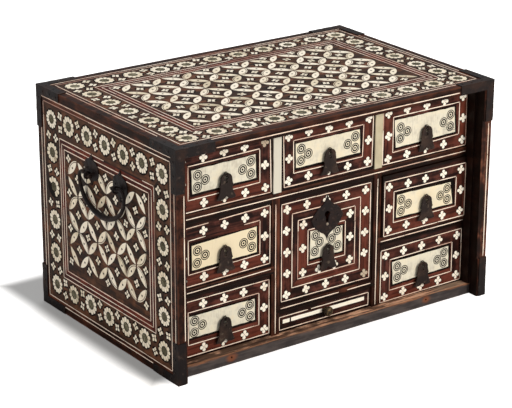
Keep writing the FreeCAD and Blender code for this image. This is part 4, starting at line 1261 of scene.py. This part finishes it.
def make_staple(drawer):
    """The eye that a pull swings on, bent from strip, with its leg through the front."""
    place = joint_place("swing_pull_" + drawer)
    box = extent("pull_staple_" + drawer)
    build = Build()
    eye_ring(build, place, STAPLE_RADIUS, STAPLE_HALF, "x")
    rod_along(build, Vector((place.x, place.y + STAPLE_RADIUS, place.z)),
              Vector((place.x, box.back - STAPLE_CLINCH, place.z)), STAPLE_LEG)
    face = Face((place.x, box.back, place.z), right=(-1, 0, 0))
    build.plate(face, [rectangle(-1.0, -4.5, 1.0, 4.5)], -STAPLE_CLINCH, 0.0, 0.25)
    piece = build.piece("iron_staple_" + drawer, body_named(drawer), "iron", PULL_IRON)
    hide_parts("pull_staple_" + drawer)


def eye_ring(build, place, radius, half, axis, count=24, sides=10):
    """A ring of strip iron round the axis X or Y."""
    rings = []
    for step in range(count):
        angle = FULL_TURN * step / count
        ring = []
        for side in range(sides):
            way = FULL_TURN * side / sides
            out = radius + half * math.cos(way)
            over = half * math.sin(way)
            if axis == "x":
                spot = Vector((over, out * math.cos(angle), out * math.sin(angle)))
            else:
                spot = Vector((out * math.cos(angle), over, out * math.sin(angle)))
            ring.append((place + spot) * MM)
        rings.append(build.ring(ring))
    for low, high in zip(rings, rings[1:] + rings[:1]):
        build.wall(low, high, True)


def rod_along(build, start, end, radius, sides=12):
    """A straight round rod with flat ends."""
    along = (end - start).normalized()
    side = along.orthogonal().normalized()
    other = along.cross(side)
    rings = [build.ring([(spot + side * radius * math.cos(FULL_TURN * k / sides)
                          + other * radius * math.sin(FULL_TURN * k / sides)) * MM
                         for k in range(sides)]) for spot in (start, end)]
    build.tube(rings)


def three_point_arc(start, middle, end, count):
    """Points on the arc through three points, without its last one."""
    (ax, ay), (bx, by), (cx, cy) = start, middle, end
    d = 2 * (ax * (by - cy) + bx * (cy - ay) + cx * (ay - by))
    a, b, c = ax * ax + ay * ay, bx * bx + by * by, cx * cx + cy * cy
    centre = ((a * (by - cy) + b * (cy - ay) + c * (ay - by)) / d,
              (a * (cx - bx) + b * (ax - cx) + c * (bx - ax)) / d)
    radius = math.dist(centre, start)
    first = math.atan2(ay - centre[1], ax - centre[0])
    last = math.atan2(cy - centre[1], cx - centre[0])
    turn = (bx - ax) * (cy - by) - (by - ay) * (cx - bx)
    if turn > 0 and last < first:
        last += FULL_TURN
    if turn < 0 and last > first:
        last -= FULL_TURN
    return arc(centre, radius, first, last, count)[:-1]


# Points of an ogee's neck, knee and shoulder, as shares of its half width and of its rise
LOCK_TOP_SHARES = ((0.26, 0.62), (0.60, 0.45), (0.85, 0.20))
LOCK_TIP_SHARES = ((0.13, 0.76), (0.35, 0.63), (0.74, 0.37))
HANDLE_SHARES = ((0.14, 0.80), (0.42, 0.62), (0.88, 0.42))
# The lock plate's level and nails, from the keyhole
KEYHOLE_LEVEL = 146.0
LOCK_WING_DROP = 4.0
KEYHOLE_RADIUS = 3.7
KEYHOLE_SLOT = [(-1.9, -6.0), (-1.8, -9.6), (1.8, -9.6), (1.9, -6.0)]
LOCK_NAILS = (0.0, 17.5), (-15.5, -3.6), (15.5, -3.6)
# The nail whose head is painted pale, as a highlight
BRIGHT_NAIL = (0.0, -12.2)


def ogee(half_width, rise, fall, top_shares, tip_shares):
    """An ogee lozenge, turning left from its lower point."""
    quarters = []
    for across, up in ((half_width, -fall), (half_width, rise),
                       (-half_width, rise), (-half_width, -fall)):
        shares = top_shares if up > 0 else tip_shares
        neck, knee, shoulder = [(across * x, up * z) for x, z in shares]
        quarters.append(three_point_arc((0, up), neck, knee, 6)
                        + three_point_arc(knee, shoulder, (across, 0), 6) + [(across, 0)])
    low_right, high_right, high_left, low_left = quarters
    return low_right + high_right[::-1][1:] + high_left[1:] + low_left[::-1][1:-1]


def make_lock_plate():
    box = extent("lock_plate")
    thick = box.back - box.front
    face = Face((0, box.back, KEYHOLE_LEVEL))
    rng = random.Random(3)
    wing = KEYHOLE_LEVEL - LOCK_WING_DROP
    rim = [(u + rng.uniform(-0.25, 0.25), v - LOCK_WING_DROP + rng.uniform(-0.2, 0.2))
           for u, v in ogee((box.right - box.left) / 2, box.high - wing, wing - box.low,
                            LOCK_TOP_SHARES, LOCK_TIP_SHARES)]
    hole = arc((0, 0), KEYHOLE_RADIUS, math.radians(-56), math.radians(236), 18) + KEYHOLE_SLOT
    build = Build()
    build.plate(face, [rim, hole[::-1]], 0.0, thick, 0.3,
                bow=lambda u, v: 0.12 * math.sin(u * 0.35 + v * 0.22))
    for spot in LOCK_NAILS:
        build.dome(face, *spot, 1.3, 0.7, thick)
    piece = build.piece("iron_lock_plate", body_named("centre"), "iron", IRON)
    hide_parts("lock_plate")
    # A nail head painted pale, for a highlight
    nail = Build()
    nail.dome(face, *BRIGHT_NAIL, 1.9, 0.9, thick)
    nail.piece("bright_nail", body_named("centre"), "iron", HIGHLIGHT_IRON)
    dress(IRON, "lock_case", "lock_bolt")


# The turned knob's neck, collar and domed head: how far out of the front, and how wide
KNOB_PROFILE = ((0.0, 3.6), (0.6, 3.6), (0.8, 3.0), (2.2, 2.5), (4.2, 2.9), (4.7, 4.2),
                (5.3, 5.6), (6.9, 6.0), (8.2, 5.6), (9.2, 4.4), (9.8, 2.6), (10.0, 1.0))
KNOB_WIDEST = 6.0
KNOB_PIN, KNOB_RIVET, KNOB_RIVET_THICKNESS = 1.6, 3.2, 1.2


def make_knob(sides=28):
    box = extent("knob")
    radius = (box.right - box.left) / 2
    middle = Vector(((box.left + box.right) / 2, 0, (box.low + box.high) / 2))
    front = extent("drawer_front_slim").front
    build = Build()
    rings = []
    for depth, out in KNOB_PROFILE:
        reach = out * radius / KNOB_WIDEST
        ring = [Vector((middle.x + reach * math.cos(FULL_TURN * k / sides), front - depth,
                        middle.z + reach * math.sin(FULL_TURN * k / sides))) * MM
                for k in range(sides)]
        rings.append(build.ring(ring))
    build.tube(rings)
    outer, inner, end = [Vector((middle.x, depth, middle.z)) for depth in
                         (front, box.back - KNOB_RIVET_THICKNESS, box.back)]
    rod_along(build, outer, end, KNOB_PIN)
    rod_along(build, inner, end, KNOB_RIVET, 16)
    piece = build.piece("brass_knob", body_named("slim"), "brass", BRASS)
    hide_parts("knob")


BAIL_HALF, BAIL_DROP = 47.5, 41.0
BAIL_HOOK, BAIL_CURL, BAIL_SIDE = 5.0, 8.0, 30.0
BAIL_HOOK_ANGLE = 35.0
BAIL_THIN, BAIL_THICK, BAIL_TIP = 2.0, 3.6, 2.7
# The buds on a bail's ends: how far past the pin, and how thick
BAIL_BUD = (-2.6, 1.5), (-2.3, 2.4), (-1.7, BAIL_TIP), (-0.9, BAIL_TIP), (-0.3, 2.3)


def bail_line():
    """Half of the bail's centre line: points in Y and Z from its axis, in tangent arcs."""
    bend = math.radians(BAIL_HOOK_ANGLE)
    curl_y = BAIL_HALF - BAIL_CURL
    curl_z = (BAIL_HOOK + BAIL_CURL) * (1 - math.cos(bend)) - BAIL_CURL
    pin_end = curl_y - (BAIL_HOOK + BAIL_CURL) * math.sin(bend)
    side_y = BAIL_HALF - BAIL_SIDE
    spare = BAIL_DROP + curl_z - BAIL_SIDE
    lift = (side_y ** 2 - spare ** 2) / (2 * spare)
    meet = -math.atan2(lift, side_y)
    line = [(pin_end - 7.0, 0.0), (pin_end - 3.5, 0.0)]
    line += arc((pin_end, BAIL_HOOK), BAIL_HOOK, -QUARTER_TURN, bend - QUARTER_TURN, 5)
    line += arc((curl_y, curl_z), BAIL_CURL, QUARTER_TURN + bend, 0, 12)[1:]
    line += arc((side_y, curl_z), BAIL_SIDE, 0, meet, 10)[1:]
    line += arc((0, curl_z + lift), BAIL_SIDE + lift + spare, meet, -QUARTER_TURN, 12)[1:]
    return line


def make_bail(side, sides=20):
    place = joint_place("swing_bail_" + side)
    half = bail_line()
    ways = [0.0]
    for before, after in zip(half, half[1:]):
        ways.append(ways[-1] + math.dist(before, after))
    stations = [(y, z, BAIL_THIN + (BAIL_THICK - BAIL_THIN) * s ** 2)
                for (y, z), s in zip(half, [way / ways[-1] for way in ways])]
    stations = [(half[0][0] + past, 0, radius) for past, radius in BAIL_BUD] + stations
    stations += [(-y, z, radius) for y, z, radius in stations[-2::-1]]
    build = Build()
    rings = []
    for index, (y, z, radius) in enumerate(stations):
        before = stations[max(index - 1, 0)]
        after = stations[min(index + 1, len(stations) - 1)]
        along = Vector((0, after[0] - before[0], after[1] - before[1])).normalized()
        outwards = Vector((1, 0, 0))
        across = outwards.cross(along)
        centre = place + Vector((0, y, z))
        ring = []
        for k in range(sides):
            angle = FULL_TURN * k / sides
            spot = centre + outwards * radius * math.cos(angle) + across * radius * math.sin(angle)
            ring.append(spot * MM + wobble(spot * MM, 9, 0.12))
        rings.append(build.ring(ring))
    build.tube(rings)
    piece = build.piece("iron_bail_" + side, "bail_" + side, "iron", IRON)
    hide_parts("bail_" + side)


# Where each eye of a bail is, and how far its plate stands above it
BAIL_EYES = {-34.5: 3.2, 26.5: 5.2}
MOUNT_HALF_WIDTH, MOUNT_HALF_HEIGHT, MOUNT_THICKNESS = 15.0, 19.0, 1.2
MOUNT_HOLE = 1.7
MOUNT_NAILS = (0.0, 12.5), (0.0, -14.0), (-9.5, 0.5), (9.5, 0.5)
EYE_RADIUS, EYE_HALF, EYE_LEG, EYE_LEG_LENGTH = 3.65, 1.2, 1.45, 15.0


def make_handle_mounts():
    build = Build()
    for side, face in (("left", LEFT_FACE), ("right", RIGHT_FACE)):
        place = joint_place("swing_bail_" + side)
        sign = -1 if side == "left" else 1
        for y, rise in BAIL_EYES.items():
            u = (CASE.back - y) if side == "left" else (y - CASE.front)
            plate = Face(face.point(u, place.z + rise) / MM, face.right)
            rim = ogee(MOUNT_HALF_WIDTH, MOUNT_HALF_HEIGHT, MOUNT_HALF_HEIGHT, HANDLE_SHARES,
                       HANDLE_SHARES)
            low, high = -rise - MOUNT_HOLE, MOUNT_HOLE - rise
            hole = [(-MOUNT_HOLE, low), (-MOUNT_HOLE, high), (MOUNT_HOLE, high), (MOUNT_HOLE, low)]
            build.plate(plate, [rim, hole], 0.0, MOUNT_THICKNESS, 0.3,
                        bow=lambda a, b: 0.12 * math.sin(a * 0.5 + b * 0.3))
            for spot in MOUNT_NAILS:
                build.dome(plate, *spot, 1.5, 0.8, MOUNT_THICKNESS)
            eye_ring(build, Vector((place.x, y, place.z)), EYE_RADIUS, EYE_HALF, "y")
            inner = Vector((sign * (abs(CASE.left) - EYE_LEG_LENGTH), y, place.z))
            rod_along(build, Vector((place.x - sign * EYE_RADIUS, y, place.z)), inner, EYE_LEG)
            clinch = Face((inner.x, y, place.z), right=(0, sign, 0))
            build.plate(clinch, [rectangle(-1.5, -7, 1.5, 7)], 0.0, 1.4, 0.3)
    piece = build.piece("iron_handle_mounts", "case", "iron", IRON)
    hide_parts("handle_mounts")


# Where the nails stand along each arm of a corner iron, and how far in from its edge
CORNER_NAILS = (14.0, 30.0, 44.0)
CORNER_NAIL_INSET = 5.0
CORNER_IRON_RISE = 0.75


def make_corner_irons():
    worn_copy("corner_irons", "iron_corners", "case", "iron", IRON, arris=0.28, wear=0.1, step=5.0,
              shake=0.3)
    build = Build()
    near = CORNER_NAIL_INSET
    for face in (LEFT_FACE, RIGHT_FACE, TOP_FACE):
        w, h = face.width, face.height
        for far in CORNER_NAILS:
            for u, v in ((far, near), (w - far, near), (far, h - near), (w - far, h - near),
                         (near, far), (w - near, far), (near, h - far), (w - near, h - far)):
                build.dome(face, u, v, 1.7, 0.8, CORNER_IRON_RISE)
    build.piece("iron_nails", "case", "iron", IRON)


# The studio

FLOOR_HALF = 6.0
# The left, near, right and far edges of the painted shadow on the floor
SHADOW = (-247.0, -128.0, 190.0, 220.0)
WORLD_LIGHT, WORLD_SEEN = 0.34, 1.0
LAMP_DISTANCE = 2.6
LAMP_TARGET = (0, 0, 0.13)


def make_floor():
    """A white sheet, with a painted soft shadow where a large overhead lamp in front and to the
    right would cast one.
    """
    mesh = bpy.data.meshes.new("floor")
    corners = rectangle(-FLOOR_HALF, -FLOOR_HALF, FLOOR_HALF, FLOOR_HALF)
    mesh.from_pydata([(x, y, 0) for x, y in corners], [], [(0, 1, 2, 3)])
    floor = bpy.data.objects.new("floor", mesh)
    bpy.context.scene.collection.objects.link(floor)
    paint = new_paint("floor_paper")
    left, near, right, far = SHADOW
    x, y = paint.xyz()[:2]
    beyond = ((x - (left + right) / 2).size() - (right - left) / 2).most(
        (y - (near + far) / 2).size() - (far - near) / 2)
    # Painted shadow: inside the rectangle the floor's colour and glow are darker
    lit = beyond.step(-14, 16)
    paper = paint.finish(Base_Color=paint.mix(lit, "848484", "e8e8e8"), Roughness=0.9)
    seen = Wire(paint, paint.node("ShaderNodeLightPath").outputs["Is Camera Ray"])
    glow = paint.node("ShaderNodeEmission", None,
                      {"Color": paint.mix(lit, "7c7c7c", "ffffff"), "Strength": 0.8})
    plain = Wire(paint, paint.shader.outputs[0])
    add = paint.node("ShaderNodeAddShader", None, {0: plain, 1: Wire(paint, glow.outputs[0])})
    mix = paint.node("ShaderNodeMixShader", None,
                     {0: seen, 1: plain, 2: Wire(paint, add.outputs[0])})
    paint.feed(paint.tree.nodes["Material Output"].inputs["Surface"], Wire(paint, mix.outputs[0]))
    mesh.materials.append(paper)


def make_world():
    """White behind the cabinet, and a plain, weaker light from all round."""
    world = bpy.data.worlds.new("studio")
    bpy.context.scene.world = world
    paint = Paint(world, "Background")
    seen = Wire(paint, paint.node("ShaderNodeLightPath").outputs["Is Camera Ray"])
    strength = paint.node("ShaderNodeMapRange", None,
                          {"Value": seen, "To Min": WORLD_LIGHT, "To Max": WORLD_SEEN})
    paint.finish(Color="ffffff", Strength=Wire(paint, strength.outputs["Result"]))


def lamp(name, azimuth, elevation, size, power, tone="ffffff"):
    """A soft square lamp aimed at the cabinet."""
    light = bpy.data.lights.new(name, "AREA")
    light.energy, light.size = power, size
    light.color = colour(tone)
    thing = bpy.data.objects.new(name, light)
    bpy.context.scene.collection.objects.link(thing)
    back = direction(azimuth, elevation)
    thing.location = Vector(LAMP_TARGET) + back * LAMP_DISTANCE
    thing.rotation_euler = (-back).to_track_quat("-Z", "Y").to_euler()


def direction(azimuth, elevation):
    """The way from the cabinet to a camera or a lamp, whose azimuth is 0 in front of it."""
    a, e = math.radians(azimuth), math.radians(elevation)
    return Vector((math.sin(a) * math.cos(e), -math.cos(a) * math.cos(e), math.sin(e)))


def make_lights():
    lamp("key_lamp", 19, 23, 0.55, 52, "fff6ea")
    lamp("side_lamp", -80, 25, 1.6, 20, "fff4e6")
    lamp("top_lamp", 160, 65, 1.6, 36)


def make_camera():
    data = bpy.data.cameras.new("camera")
    data.sensor_width = SENSOR_WIDTH
    data.sensor_fit = "HORIZONTAL"
    data.lens = FOCAL_PIXELS / PHOTO_WIDTH * SENSOR_WIDTH
    data.clip_start, data.clip_end = 0.1, 30
    camera = bpy.data.objects.new("camera", data)
    bpy.context.scene.collection.objects.link(camera)
    back = direction(AZIMUTH, ELEVATION)
    camera.location = (Vector(CAMERA_TARGET) + back * CAMERA_DISTANCE) * MM
    turn = (-back).to_track_quat("-Z", "Y").to_matrix() @ Matrix.Rotation(math.radians(ROLL), 3, "Z")
    camera.rotation_euler = turn.to_euler()
    bpy.context.scene.camera = camera


make_case()
make_case_inlay()
make_edge_strings()
make_bone_strips()
for drawer in DRAWERS:
    make_drawer(drawer)
    if drawer != "slim":
        make_pull(drawer)
        make_staple(drawer)
make_lock_plate()
make_knob()
make_handle_mounts()
for side in ("left", "right"):
    make_bail(side)
make_corner_irons()
make_floor()
make_world()
make_lights()
make_camera()
bpy.context.scene.view_settings.view_transform = "Standard"
